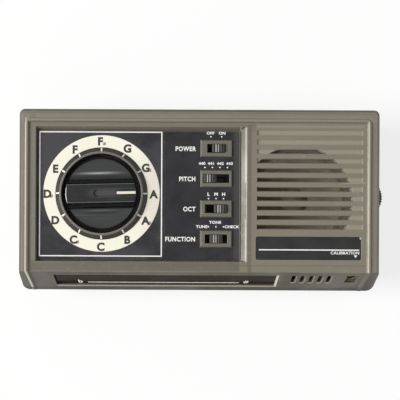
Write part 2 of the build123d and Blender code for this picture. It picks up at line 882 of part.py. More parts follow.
with BuildPart() as display_window:
    with BuildSketch(down_slope(window_x, window_down, lens_sunk + lens_t)):
        Rectangle(window_w - 2 * panel_gap, window_h - 2 * panel_gap)
    extrude(amount=lens_t)
export(display_window, "display_window")

# ---------------------------------------------------------------- dial
with BuildPart() as tuning_knob:
    with BuildSketch(Plane.XY.offset(knob_foot_z)):
        with Locations((dial_x, dial_y)):
            Circle(knob_flange_r)
    extrude(amount=knob_flange_t)
    with BuildSketch(Plane.XY.offset(knob_foot_z)):
        with Locations((dial_x, dial_y)):
            Circle(knob_r)
    extrude(amount=knob_top_z - knob_foot_z)
    fillet(tuning_knob.edges().group_by(Axis.Z)[-1], knob_edge_r)
    for x_dir in ((0, 1, 0), (0, -1, 0)):
        across = Plane(origin=(dial_x, dial_y, knob_top_z), x_dir=x_dir, z_dir=(x_dir[1], 0, 0))
        with BuildSketch(across) as lobe:
            with BuildLine():
                Polyline(
                    (bar_w / 2, 0),
                    (bar_w / 2 + bar_lean, -trough_depth),
                    (crest_out, -crest_depth),
                    (knob_flange_r, -rim_depth),
                    (knob_flange_r, 0),
                    close=True,
                )
            make_face()
            fillet(lobe.vertices().sort_by_distance((bar_w / 2 + bar_lean, -trough_depth))[0], trough_r)
            fillet(lobe.vertices().sort_by_distance((crest_out, -crest_depth))[0], crest_r)
        extrude(amount=knob_flange_r, both=True, mode=Mode.SUBTRACT)
    handle_rim = tuning_knob.edges().group_by(Axis.Z)[-1]
    fillet(handle_rim.filter_by(Axis.X), bar_edge_r)
    with BuildSketch(Plane.XY.offset(knob_top_z)):
        with Locations((dial_x + knob_r - channel_l, dial_y)):
            Rectangle(2 * knob_r, channel_w, align=(Align.MIN, Align.CENTER))
            Circle(channel_w / 2)
    extrude(amount=-channel_depth, mode=Mode.SUBTRACT)
    with BuildSketch(Plane.XY.offset(knob_foot_z)):
        with Locations((dial_x, dial_y)):
            Circle(nut_room_r)
    extrude(amount=nut_room_h, mode=Mode.SUBTRACT)
    with BuildSketch(Plane.XY.offset(knob_foot_z + nut_room_h)):
        with Locations((dial_x, dial_y)):
            Circle(shaft_r + run_gap)
    extrude(amount=shaft_into_knob, mode=Mode.SUBTRACT)

with BuildPart() as knob_pointer:
    with BuildSketch(Plane.XY.offset(knob_top_z - channel_depth)):
        with Locations((dial_x + knob_r - pointer_in - pointer_l / 2, dial_y)):
            Rectangle(pointer_l, pointer_w)
    extrude(amount=pointer_t)

dial_axis = Axis((dial_x, dial_y, 0), (0, 0, 1))
for turned, label in ((tuning_knob, "tuning_knob"), (knob_pointer, "knob_pointer")):
    turned.part = turned.part.rotate(dial_axis, knob_turn)
    export(turned, label)

rotary_z = well_under_z - rotary_h
with BuildPart() as dial_switch:
    with BuildSketch(Plane.XY.offset(rotary_z)):
        with Locations((dial_x, dial_y)):
            Circle(rotary_r)
    extrude(amount=rotary_h)
    with BuildSketch(Plane.XY.offset(well_under_z)):
        with Locations((dial_x, dial_y)):
            Circle(bush_r)
    extrude(amount=bush_l)
    with BuildSketch(Plane.XY.offset(rotary_z + shaft_foot)):
        with Locations((dial_x, dial_y)):
            Circle(shaft_r + run_gap)
    extrude(amount=rotary_h + bush_l, mode=Mode.SUBTRACT)
export(dial_switch, "dial_switch")

shaft_z = rotary_z + shaft_foot + slide_gap
with BuildPart() as dial_shaft:
    with BuildSketch(Plane.XY.offset(shaft_z)):
        with Locations((dial_x, dial_y)):
            Circle(shaft_r)
    extrude(amount=knob_foot_z + nut_room_h + shaft_into_knob - run_gap - shaft_z)
export(dial_shaft, "dial_shaft")

with BuildPart() as dial_nut:
    with BuildSketch(Plane.XY.offset(well_floor_z)):
        with Locations((dial_x, dial_y)):
            RegularPolygon(nut_af / 2, 6, major_radius=False)
            Circle(bush_r + run_gap, mode=Mode.SUBTRACT)
    extrude(amount=nut_t)
export(dial_nut, "dial_nut")

# ---------------------------------------------------------------- slide switches
body_d = slider_d + 2 * (slide_gap + switch_wall)
for index, (name, positions, shown) in enumerate(SWITCHES):
    y = switch_y(index)
    travel = (positions - 1) * slide_step
    hollow_z = main_top_z + switch_wall
    hollow_h = slider_t + 2 * slide_gap
    with BuildPart() as switch_body:
        with BuildSketch(Plane.XY.offset(main_top_z)):
            with Locations((switch_x, y)):
                Rectangle(slider_w + travel + 2 * (slide_gap + switch_wall), body_d)
        extrude(amount=switch_body_h)
        with BuildSketch(Plane.XY.offset(hollow_z)):
            with Locations((switch_x, y)):
                Rectangle(slider_w + travel + 2 * slide_gap, slider_d + 2 * slide_gap)
        extrude(amount=hollow_h, mode=Mode.SUBTRACT)
        with BuildSketch(Plane.XY.offset(hollow_z)):
            with Locations((switch_x, y)):
                Rectangle(stem_w + travel + 2 * slide_gap, stem_d + 2 * slide_gap)
        extrude(amount=switch_body_h, mode=Mode.SUBTRACT)
    export(switch_body, f"{name}_switch")

    x = cap_x(positions, shown)
    with BuildPart() as switch_cap:
        with BuildSketch(Plane.XY.offset(hollow_z + slide_gap)):
            with Locations((x, y)):
                Rectangle(slider_w, slider_d)
        extrude(amount=slider_t)
        with BuildSketch(Plane.XY.offset(hollow_z + slide_gap)):
            with Locations((x, y)):
                Rectangle(stem_w, stem_d)
        extrude(amount=cap_top_z - cap_t - hollow_z - slide_gap)
        with BuildSketch(Plane.XY.offset(cap_top_z - cap_t)):
            with Locations((x, y)):
                Rectangle(cap_w, cap_d)
        extrude(amount=cap_t)
        with BuildSketch(Plane.XY.offset(cap_top_z)):
            with Locations((x, y)):
                with GridLocations(cap_w / cap_rib_count, 0, cap_rib_count - 1, 1):
                    Rectangle(cap_w / cap_rib_count / 2, cap_d)
        extrude(amount=-cap_groove, mode=Mode.SUBTRACT)
    export(switch_cap, f"{name}_switch_cap")

# ---------------------------------------------------------------- loudspeaker
speaker_axis = Plane(origin=(speaker_x, speaker_y, 0), x_dir=(1, 0, 0), z_dir=(0, -1, 0))
basket_z = flange_z - basket_depth
flange_inner_r = speaker_r - flange_w
dust_cap_z = flange_z - cone_depth + cone_t
with BuildPart() as speaker_basket:
    with BuildSketch(speaker_axis):
        with BuildLine():
            Polyline(
                (0, basket_z),
                (basket_foot_r, basket_z),
                (flange_inner_r + basket_t, flange_z),
                (speaker_r, flange_z),
                (speaker_r, flange_top_z),
                (flange_inner_r, flange_top_z),
                (flange_inner_r, flange_z),
                (flange_inner_r - basket_ledge, flange_z),
                (basket_foot_r - basket_t, basket_z + basket_t),
                (0, basket_z + basket_t),
                close=True,
            )
        make_face()
    revolve(axis=Axis((speaker_x, speaker_y, 0), (0, 0, 1)))
    window_ring_r = (basket_foot_r + flange_inner_r) / 2
    first_window = 180 / basket_window_count
    with Locations((speaker_x, speaker_y, basket_z)):
        with PolarLocations(window_ring_r, basket_window_count, first_window):
            Cylinder(
                window_hole_r,
                basket_depth - basket_t,
                align=(Align.CENTER, Align.CENTER, Align.MIN),
                mode=Mode.SUBTRACT,
            )
export(speaker_basket, "speaker_basket")

with BuildPart() as speaker_cone:
    with BuildSketch(speaker_axis):
        with BuildLine():
            Polyline(
                (coil_r, flange_z - cone_depth + cone_t),
                (cone_r - surround_w, flange_z + cone_t),
                (cone_r - surround_w / 2, flange_top_z),
                (cone_r, flange_z + cone_t),
                (cone_r, flange_z),
                (cone_r - surround_w, flange_z),
                (coil_r + cone_t, flange_z - cone_depth),
                (coil_r + cone_t, basket_z + basket_t),
                (coil_r, basket_z + basket_t),
                close=True,
            )
        make_face()
    revolve(axis=Axis((speaker_x, speaker_y, 0), (0, 0, 1)))
export(speaker_cone, "speaker_cone")

dust_cap_r = (coil_r**2 + dust_cap_h**2) / (2 * dust_cap_h)
with BuildPart() as speaker_dust_cap:
    with Locations((speaker_x, speaker_y, dust_cap_z + dust_cap_h - dust_cap_r)):
        Sphere(dust_cap_r)
    split(bisect_by=Plane.XY.offset(dust_cap_z), keep=Keep.TOP)
export(speaker_dust_cap, "speaker_dust_cap")

with BuildPart() as speaker_magnet:
    with BuildSketch(Plane.XY.offset(basket_z)):
        with Locations((speaker_x, speaker_y)):
            Circle(magnet_r)
    extrude(amount=-magnet_h)
    chamfer(speaker_magnet.edges().group_by(Axis.Z)[0], magnet_bevel)
export(speaker_magnet, "speaker_magnet")

with BuildPart() as speaker_clips:
    with BuildSketch(Plane.XY.offset(flange_z)):
        with Locations(*speaker_clip_spots):
            Circle(clip_r)
            Circle(screw_r, mode=Mode.SUBTRACT)
    extrude(amount=-clip_t)
export(speaker_clips, "speaker_clips")

# ---------------------------------------------------------------- front board
front_board_x = (front_board_left + front_board_right) / 2
front_board_down = (front_board_top + front_board_bottom) / 2
with BuildPart() as display_board:
    with BuildSketch(down_slope(front_board_x, front_board_down, front_board_back)):
        Rectangle(
            front_board_right - front_board_left, front_board_bottom - front_board_top
        )
    extrude(amount=-board_t)
export(display_board, "display_board")

with BuildPart() as indicator_lamps:
    with BuildSketch(down_slope(window_x, window_down, front_board_back)):
        with GridLocations(lamp_pitch, 0, lamp_count, 1):
            Rectangle(lamp_w, lamp_h)
    extrude(amount=lamp_t)
export(indicator_lamps, "indicator_lamps")

with BuildPart() as lamp_shroud:
    with BuildSketch(down_slope(window_x, window_down, front_board_back)):
        Rectangle(
            lamp_count * lamp_pitch + shroud_wall, lamp_h + 2 * (slide_gap + shroud_wall)
        )
        with GridLocations(lamp_pitch, 0, lamp_count, 1):
            Rectangle(
                lamp_w + 2 * slide_gap, lamp_h + 2 * slide_gap, mode=Mode.SUBTRACT
            )
    extrude(amount=shroud_t)
export(lamp_shroud, "lamp_shroud")

with BuildPart() as microphone:
    with BuildSketch(down_slope(mic_x, mic_down, wall + mic_sunk + mic_h)):
        Circle(mic_r)
    extrude(amount=mic_h)
export(microphone, "microphone")

boot_l = front_board_back - wall - slide_gap
with BuildPart() as microphone_boot:
    with BuildSketch(down_slope(mic_x, mic_down, wall + boot_l)):
        Circle(boot_r)
        Circle(mic_r, mode=Mode.SUBTRACT)
    extrude(amount=boot_l)
export(microphone_boot, "microphone_boot")

with BuildPart() as calibration_trimmer:
    with BuildSketch(down_slope(cal_x, cal_down, front_board_back)):
        Rectangle(trimmer_w, trimmer_w)
    extrude(amount=trimmer_h)
    with BuildSketch(down_slope(cal_x, cal_down, front_board_back - trimmer_h)):
        Circle(trimmer_rotor_r + run_gap)
    extrude(amount=trimmer_floor - trimmer_h, mode=Mode.SUBTRACT)
export(calibration_trimmer, "calibration_trimmer")

rotor_back = front_board_back - trimmer_floor - run_gap
rotor_l = trimmer_h - trimmer_floor + trimmer_rotor_l
with BuildPart() as calibration_rotor:
    with BuildSketch(down_slope(cal_x, cal_down, rotor_back)):
        Circle(trimmer_rotor_r)
    extrude(amount=rotor_l)
    with BuildSketch(down_slope(cal_x, cal_down, rotor_back - rotor_l)):
        Rectangle(2 * trimmer_rotor_r, trimmer_rotor_r / 2)
    extrude(amount=-trimmer_rotor_r / 2, mode=Mode.SUBTRACT)
export(calibration_rotor, "calibration_rotor")

# ---------------------------------------------------------------- main board
with BuildPart() as main_board:
    with BuildSketch(Plane.XY.offset(main_under_z)):
        with Locations(((main_left + main_right) / 2, (main_rear + main_front) / 2)):
            Rectangle(main_right - main_left, main_rear - main_front)
        with Locations((dial_x, dial_y)):
            Circle(rotary_r + rotary_gap, mode=Mode.SUBTRACT)
        with Locations(*board_post_spots):
            Circle(screw_r + slide_gap, mode=Mode.SUBTRACT)
    extrude(amount=board_t)
export(main_board, "main_board")

with BuildPart() as tuner_chip:
    with BuildSketch(Plane.XY.offset(main_top_z)):
        with Locations((chip_x, chip_y)):
            Rectangle(chip_w, chip_l)
    extrude(amount=chip_t)
    chamfer(tuner_chip.faces().sort_by(Axis.Z)[-1].edges(), chip_t / 6)
export(tuner_chip, "tuner_chip")

with BuildPart() as capacitors:
    with BuildSketch(Plane.XY.offset(main_top_z)):
        with Locations((capacitor_row_x, capacitor_row_y)):
            with GridLocations(capacitor_row_pitch, 0, capacitor_count, 1):
                Circle(capacitor_r)
    extrude(amount=capacitor_h)
export(capacitors, "capacitors")

# ---------------------------------------------------------------- volume control
with BuildPart() as volume_wheel:
    with BuildSketch(Plane.XY.offset(wheel_z - wheel_t / 2)):
        with Locations((wheel_x, wheel_y)):
            Circle(wheel_r)
            Circle(spindle_r + run_gap, mode=Mode.SUBTRACT)
            with PolarLocations(wheel_r, wheel_notch_count):
                Circle(wheel_notch_r, mode=Mode.SUBTRACT)
    extrude(amount=wheel_t)
export(volume_wheel, "volume_wheel")

with BuildPart() as volume_pot:
    with BuildSketch(Plane.XY.offset(volume_board_z + board_t)):
        with Locations((wheel_x, wheel_y)):
            Circle(pot_r)
    extrude(amount=pot_h)
    with BuildSketch(Plane.XY.offset(volume_board_z + board_t + pot_floor)):
        with Locations((wheel_x, wheel_y)):
            Circle(spindle_r + run_gap)
    extrude(amount=pot_h, mode=Mode.SUBTRACT)
export(volume_pot, "volume_pot")

spindle_z = volume_board_z + board_t + pot_floor + slide_gap
with BuildPart() as volume_spindle:
    with BuildSketch(Plane.XY.offset(spindle_z)):
        with Locations((wheel_x, wheel_y)):
            Circle(spindle_r)
    extrude(amount=wheel_z + wheel_t / 2 - slide_gap - spindle_z)
export(volume_spindle, "volume_spindle")

with BuildPart() as volume_board:
    with BuildSketch(Plane.XY.offset(volume_board_z)):
        with Locations((wheel_x - volume_board_in, wheel_y)):
            Rectangle(volume_board_w, volume_board_d)
        with Locations(*volume_post_spots):
            Circle(screw_r + slide_gap, mode=Mode.SUBTRACT)
    extrude(amount=board_t)
export(volume_board, "volume_board")

# ---------------------------------------------------------------- jacks
for x, label in zip(jack_xs, ("input_jack", "output_jack")):
    with BuildPart() as jack:
        with BuildSketch(rear_plane(x, jack_body_y, jack_z)):
            Rectangle(jack_w, jack_h)
        extrude(amount=-jack_l)
        with BuildSketch(rear_plane(x, jack_body_y, jack_z)):
            Circle(jack_nose_r)
        extrude(amount=jack_face_y - jack_body_y)
        with BuildSketch(rear_plane(x, jack_face_y, jack_z)):
            Circle(jack_bore_r)
        extrude(amount=-jack_l, mode=Mode.SUBTRACT)
    export(jack, label)

with BuildPart() as power_jack:
    with BuildSketch(rear_plane(dc_x, jack_body_y, jack_z)):
        Rectangle(dc_w, dc_h)
    extrude(amount=-dc_l)
    with BuildSketch(rear_plane(dc_x, jack_body_y, jack_z)):
        Circle(dc_nose_r)
    extrude(amount=jack_face_y - jack_body_y)
    with BuildSketch(rear_plane(dc_x, jack_face_y, jack_z)):
        Circle(dc_bore_r)
        Circle(dc_pin_r, mode=Mode.SUBTRACT)
    extrude(amount=-dc_depth, mode=Mode.SUBTRACT)
export(power_jack, "power_jack")

# ---------------------------------------------------------------- batteries
cell_y = bay_front + contact_room
with BuildPart() as batteries:
    for index in range(cell_count):
        cell_x = bay_left + (index + 0.5) * cell_pitch
        reverse = index % 2
        body_y = cell_y + (nub_l if reverse else 0)
        nub_y = cell_y if reverse else cell_y + cell_l
        with BuildSketch(rear_plane(cell_x, body_y, cell_z)):
            Circle(cell_r)
        extrude(amount=cell_l)
        with BuildSketch(rear_plane(cell_x, nub_y, cell_z)):
            Circle(nub_r)
        extrude(amount=nub_l)
export(batteries, "batteries")

for label, wall_y, side in (
    ("battery_contacts_front", bay_front, 1),
    ("battery_contacts_rear", bay_rear, -1),
):
    with BuildPart() as contacts:
        for index in range(cell_count):
            cell_x = bay_left + (index + 0.5) * cell_pitch
            with BuildSketch(Plane.YZ.offset(cell_x)):
                with BuildLine():
                    Polyline(
                        (wall_y + side * contact_t / 2, cell_z + contact_w / 2),
                        (wall_y + side * contact_t / 2, cell_z - contact_w / 2),
                        (wall_y + side * (contact_room - contact_t), cell_z),
                    )
                    offset(amount=contact_t / 2 - run_gap)
                make_face()
            extrude(amount=contact_w / 2, both=True)
    export(contacts, label)
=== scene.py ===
"""Looks of the desktop chromatic tuner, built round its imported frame.

Metres, in the frame's axes: +X is the player's right, -Y the front, +Z up.
The housing and what it holds are the frame's own nodes, and get their finishes
here. The new pieces are what is printed on them.
"""

from math import cos, pi, radians, sin

import bmesh
import bpy
import numpy as np
from mathutils import Matrix, Vector


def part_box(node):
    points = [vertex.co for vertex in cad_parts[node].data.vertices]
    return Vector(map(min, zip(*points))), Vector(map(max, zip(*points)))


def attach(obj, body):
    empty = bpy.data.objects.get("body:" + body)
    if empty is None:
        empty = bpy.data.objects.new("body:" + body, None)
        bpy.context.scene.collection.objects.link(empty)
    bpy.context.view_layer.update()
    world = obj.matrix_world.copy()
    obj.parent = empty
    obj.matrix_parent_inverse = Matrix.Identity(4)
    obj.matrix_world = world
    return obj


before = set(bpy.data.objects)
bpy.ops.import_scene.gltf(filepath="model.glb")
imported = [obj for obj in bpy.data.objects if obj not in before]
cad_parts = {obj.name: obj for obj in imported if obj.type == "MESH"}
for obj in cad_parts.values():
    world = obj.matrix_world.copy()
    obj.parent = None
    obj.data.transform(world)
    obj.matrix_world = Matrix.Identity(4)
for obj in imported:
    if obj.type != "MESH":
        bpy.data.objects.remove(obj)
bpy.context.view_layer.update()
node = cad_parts
MM = 0.001


# ------------------------------------------------------------------ node helpers
def add(tree, kind, inputs=None, **settings):
    """Add a shader node; inputs gives a number, colour or feeding socket per input."""
    made = tree.nodes.new(kind)
    for key, value in settings.items():
        setattr(made, key, value)
    for key, value in (inputs or {}).items():
        socket = made.inputs[key]
        if isinstance(value, bpy.types.NodeSocket):
            tree.links.new(value, socket)
        else:
            socket.default_value = value
    return made


def maths(tree, operation, first, second=0.0, clamp=False):
    """Output of a Math node."""
    made = add(tree, "ShaderNodeMath", {0: first, 1: second}, operation=operation)
    made.use_clamp = clamp
    return made.outputs[0]


def ramp(tree, value, low, high, low_out=0.0, high_out=1.0):
    """Value taken smoothly from low..high to low_out..high_out, and held outside."""
    made = add(
        tree,
        "ShaderNodeMapRange",
        {"Value": value, "From Min": low, "From Max": high, "To Min": low_out, "To Max": high_out},
        interpolation_type="SMOOTHSTEP",
    )
    return made.outputs["Result"]


def blend_colours(tree, factor, first, second):
    """Colour of a Mix node, from the first colour to the second one by the factor."""
    # In colour mode its sockets 0, 6 and 7 are the factor and the two colours.
    made = add(tree, "ShaderNodeMix", {0: factor, 6: first, 7: second}, data_type="RGBA")
    return made.outputs[2]


def noise(tree, vector, scale, detail=3.0, rough=0.55, distortion=0.0):
    """Factor of a Noise texture on the given coordinates."""
    return add(
        tree,
        "ShaderNodeTexNoise",
        {
            "Vector": vector,
            "Scale": scale,
            "Detail": detail,
            "Roughness": rough,
            "Distortion": distortion,
        },
    ).outputs["Fac"]


def stretched(tree, vector, scale, turn):
    """Coordinates turned, then scaled differently along each axis."""
    made = add(
        tree, "ShaderNodeMapping", {"Vector": vector, "Scale": scale, "Rotation": turn}
    )
    return made.outputs["Vector"]


def colour(*srgb):
    """Linear colour with alpha from red, green and blue out of 255."""
    channels = [c / 255 for c in srgb]
    linear = [c / 12.92 if c <= 0.04045 else ((c + 0.055) / 1.055) ** 2.4 for c in channels]
    return (*linear, 1.0)


# ------------------------------------------------------------------ shared effects
def new_group(name, inputs, outputs):
    """Shader node group with named number, colour or vector sockets."""
    kinds = {"f": "NodeSocketFloat", "v": "NodeSocketVector", "c": "NodeSocketColor"}
    group = bpy.data.node_groups.new(name, "ShaderNodeTree")
    for label, kind, default in inputs:
        socket = group.interface.new_socket(label, in_out="INPUT", socket_type=kinds[kind])
        if default is not None:
            socket.default_value = default
    for label, kind in outputs:
        group.interface.new_socket(label, in_out="OUTPUT", socket_type=kinds[kind])
    return group, group.nodes.new("NodeGroupInput"), group.nodes.new("NodeGroupOutput")


def edge_group():
    """Rounded normal near edges, and a mask that nears 1 as it leans from the flat one."""
    group, inlet, outlet = new_group(
        "worn_edges", [("Radius", "f", 0.0003)], [("Normal", "v"), ("Edge", "f")]
    )
    bevel = add(group, "ShaderNodeBevel", {"Radius": inlet.outputs["Radius"]}, samples=6)
    flat = group.nodes.new("ShaderNodeNewGeometry")
    dot = add(
        group,
        "ShaderNodeVectorMath",
        {0: bevel.outputs["Normal"], 1: flat.outputs["Normal"]},
        operation="DOT_PRODUCT",
    )
    edge = ramp(group, dot.outputs["Value"], 0.995, 0.80)
    group.links.new(bevel.outputs["Normal"], outlet.inputs["Normal"])
    group.links.new(edge, outlet.inputs["Edge"])
    return group


def grain_group():
    """Height of a spark-eroded mould texture: two sizes of noise, the finer one sharp."""
    group, inlet, outlet = new_group(
        "mould_grain", [("Vector", "v", None), ("Size", "f", 0.0005)], [("Height", "f")]
    )
    scale = maths(group, "DIVIDE", 1.0, inlet.outputs["Size"])
    fine = noise(group, inlet.outputs["Vector"], scale, 2.0, 0.6)
    coarse = noise(group, inlet.outputs["Vector"], maths(group, "MULTIPLY", scale, 0.35), 2.0)
    total = maths(
        group, "ADD", maths(group, "MULTIPLY", fine, 0.7), maths(group, "MULTIPLY", coarse, 0.3)
    )
    group.links.new(total, outlet.inputs["Height"])
    return group


def tone_group():
    """Slow unevenness of an aged surface, from 0 to 1: broad clouds over small specks."""
    group, inlet, outlet = new_group(
        "aged_tone", [("Vector", "v", None), ("Size", "f", 0.02)], [("Tone", "f"), ("Specks", "f")]
    )
    scale = maths(group, "DIVIDE", 1.0, inlet.outputs["Size"])
    clouds = noise(group, inlet.outputs["Vector"], scale, 5.0, 0.62, 0.4)
    specks = noise(group, inlet.outputs["Vector"], maths(group, "MULTIPLY", scale, 14.0), 2.0, 0.7)
    group.links.new(ramp(group, clouds, 0.32, 0.68), outlet.inputs["Tone"])
    group.links.new(ramp(group, specks, 0.62, 0.74), outlet.inputs["Specks"])
    return group


def scuff_group():
    """Fine scratches in two directions, patchy, from 0 to 1."""
    group, inlet, outlet = new_group(
        "fine_scuffs", [("Vector", "v", None), ("Amount", "f", 0.5)], [("Scuff", "f")]
    )
    place = inlet.outputs["Vector"]
    directions = []
    for turn, stretch in ((0.5, (25.0, 2600.0, 2600.0)), (-0.9, (30.0, 2100.0, 2100.0))):
        lines = noise(group, stretched(group, place, stretch, (0.0, 0.0, turn)), 1.0, 1.0)
        directions.append(ramp(group, lines, 0.70, 0.78))
    total = maths(group, "MAXIMUM", *directions)
    patch = ramp(group, noise(group, place, 60.0, 2.0), 0.45, 0.62)
    patchy = maths(group, "MULTIPLY", total, patch)
    held = maths(group, "MULTIPLY", patchy, inlet.outputs["Amount"])
    group.links.new(held, outlet.inputs["Scuff"])
    return group


def band_group():
    """Mask that is 1 between two values and fades out softly beyond them."""
    group, inlet, outlet = new_group(
        "soft_band",
        [("Value", "f", 0.0), ("Low", "f", 0.0), ("High", "f", 1.0), ("Soft", "f", 0.0003)],
        [("Mask", "f")],
    )
    value, low, high, soft = (inlet.outputs[k] for k in ("Value", "Low", "High", "Soft"))
    rise_ends, fall_ends = (
        (maths(group, "SUBTRACT", end, soft), maths(group, "ADD", end, soft))
        for end in (low, high)
    )
    rise = ramp(group, value, *rise_ends)
    fall = ramp(group, value, *fall_ends, 1.0, 0.0)
    group.links.new(maths(group, "MULTIPLY", rise, fall), outlet.inputs["Mask"])
    return group


def axes_group():
    """Coordinates about an upright axis: X, Y and Z from it, and the distance to it."""
    group, inlet, outlet = new_group(
        "place_axes",
        [("Vector", "v", None), ("Centre", "v", None), ("Turn", "f", 0.0)],
        [("X", "f"), ("Y", "f"), ("Z", "f"), ("Radius", "f")],
    )
    moved = add(
        group,
        "ShaderNodeVectorMath",
        {0: inlet.outputs["Vector"], 1: inlet.outputs["Centre"]},
        operation="SUBTRACT",
    ).outputs[0]
    turned = add(
        group, "ShaderNodeVectorRotate", {"Vector": moved, "Angle": inlet.outputs["Turn"]},
        rotation_type="Z_AXIS",
    ).outputs[0]
    split = add(group, "ShaderNodeSeparateXYZ", {"Vector": turned})
    flat = add(group, "ShaderNodeCombineXYZ", {"X": split.outputs["X"], "Y": split.outputs["Y"]})
    reach = add(group, "ShaderNodeVectorMath", {0: flat.outputs[0]}, operation="LENGTH")
    for label in "XYZ":
        group.links.new(split.outputs[label], outlet.inputs[label])
    group.links.new(reach.outputs["Value"], outlet.inputs["Radius"])
    return group


EDGES = edge_group()
BAND = band_group()
AXES = axes_group()
GRAIN = grain_group()
TONES = tone_group()
SCUFFS = scuff_group()


def use(tree, group, inputs):
    """Place a shared effect in a material with its own values."""
    return add(tree, "ShaderNodeGroup", inputs, node_tree=group)


# ------------------------------------------------------------------ finishes
def start_material(name):
    """Empty material, its tree, its shader and the Object coordinates."""
    material = bpy.data.materials.new(name)
    material.use_nodes = True
    tree = material.node_tree
    tree.nodes.clear()
    shader = tree.nodes.new("ShaderNodeBsdfPrincipled")
    output = tree.nodes.new("ShaderNodeOutputMaterial")
    tree.links.new(shader.outputs["BSDF"], output.inputs["Surface"])
    place = tree.nodes.new("ShaderNodeTexCoord").outputs["Object"]
    return material, tree, shader, place


def zone(tint, amount, soft=0.25, about=(0.0, 0.0, 0.0), **limits):
    """Part of a surface with its own tint: ranges of X, Y, Z or Radius, in mm.

    A range is its low and high end, and may have its own softness after them.
    They are measured about an upright axis given as its X and Y in mm and the
    degrees that the ranges are turned by. Many tints are painted shade and
    painted highlights.
    """
    return tint, amount, soft, about, limits


def tinted(tree, place, body, zones):
    """Body colour with each zone's tint blended over it, under a mask of its ranges."""
    axes = {}
    for tint, amount, soft, about, limits in zones.values():
        if about not in axes:
            centre = (about[0] * MM, about[1] * MM, 0.0)
            axes[about] = use(
                tree, AXES, {"Vector": place, "Centre": centre, "Turn": radians(-about[2])}
            )
        mask = amount
        for axis, (low, high, *own) in limits.items():
            value = axes[about].outputs[axis]
            ends = {"Low": low * MM, "High": high * MM, "Soft": (own[0] if own else soft) * MM}
            band = use(tree, BAND, {"Value": value, **ends})
            mask = maths(tree, "MULTIPLY", band.outputs["Mask"], mask)
        body = blend_colours(tree, mask, body, tint)
    return body


def finish(
    name,
    base,
    pale,
    dark,
    rough=0.45,
    rough_spread=0.12,
    tone_size=0.03,
    tone_amount=0.35,
    speck_amount=0.2,
    grain_size=0.0004,
    grain_depth=0.00002,
    edge_radius=0.0003,
    edge_amount=0.5,
    scuffs=0.4,
    metal=0.0,
    specular=0.5,
    zones=None,
):
    """Moulded, painted or metal finish.

    The base colour drifts towards the dark one in broad clouds, and zones tint
    single faces; many zones are painted shade and painted highlights. Specks,
    worn edges and scratches are pale. The clouds drive the roughness too, and
    the mould's grain and the rounded edges the normal.
    """
    material, tree, shader, place = start_material(name)
    tones = use(tree, TONES, {"Vector": place, "Size": tone_size})
    edges = use(tree, EDGES, {"Radius": edge_radius})
    scratch = use(tree, SCUFFS, {"Vector": place, "Amount": scuffs}).outputs["Scuff"]
    height = use(tree, GRAIN, {"Vector": place, "Size": grain_size}).outputs["Height"]
    clouds = maths(tree, "MULTIPLY", tones.outputs["Tone"], tone_amount)
    body = tinted(tree, place, blend_colours(tree, clouds, base, dark), zones or {})
    marks = maths(tree, "MULTIPLY", tones.outputs["Specks"], speck_amount)
    marks = maths(tree, "MAXIMUM", marks, scratch)
    worn = maths(tree, "MULTIPLY", edges.outputs["Edge"], edge_amount)
    marks = maths(tree, "MAXIMUM", marks, worn, clamp=True)
    tree.links.new(blend_colours(tree, marks, body, pale), shader.inputs["Base Color"])
    softness = ramp(
        tree, tones.outputs["Tone"], 0.0, 1.0, rough - rough_spread, rough + rough_spread
    )
    tree.links.new(softness, shader.inputs["Roughness"])
    bump = add(
        tree,
        "ShaderNodeBump",
        {"Height": height, "Distance": grain_depth, "Normal": edges.outputs["Normal"]},
    )
    tree.links.new(bump.outputs["Normal"], shader.inputs["Normal"])
    shader.inputs["Metallic"].default_value = metal
    shader.inputs["Specular IOR Level"].default_value = specular
    return material


# ------------------------------------------------------------------ places, in mm and degrees
def middle(label):
    """X and Y of the middle of a node's box, in mm."""
    low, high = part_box(label)
    return (low.x + high.x) / 2 / MM, (low.y + high.y) / 2 / MM


SWITCHES = ("power", "pitch", "octave", "function")
FAR = 500.0                              # beyond the object on any side
RIDGE_RISE = 0.9                         # of the framing ridge above the deck
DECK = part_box("upper_case")[1].z / MM - RIDGE_RISE
DIAL = (*middle("tuning_knob"), 0.0)
KNOB = (*middle("tuning_knob"), 1.5)     # turned as its handle is
GRILLE = (*middle("speaker_cone"), 0.0)
GRILLE_R = 27.6                          # within which the grille's slots are open
MIC_PITCH = 4.5
MIC_SLOTS = [middle("microphone_boot")[0] + (i - 2) * MIC_PITCH for i in range(5)]

BEVEL = (DECK - 1.9, FAR)                # the deck's bevel and all above it
ON_DECK = (DECK - 0.8, FAR)
IN_RECESS = (DECK - 2.3, DECK - 0.05)    # walls of the panel's recess
GROOVE = (DECK - 0.7, DECK - 0.4)        # floor of the grille's shallow grooves
FRAMES = (DECK - 1.6, DECK - 0.4)        # the switch frames' height
SLOPE = (-FAR, -36.0)                    # the sloping front
HANDLE = (38.0, 42.0)
HANDLE_CREST = (40.2, 42.0)
RIBS = (38.8, 39.5)                      # across the switch caps

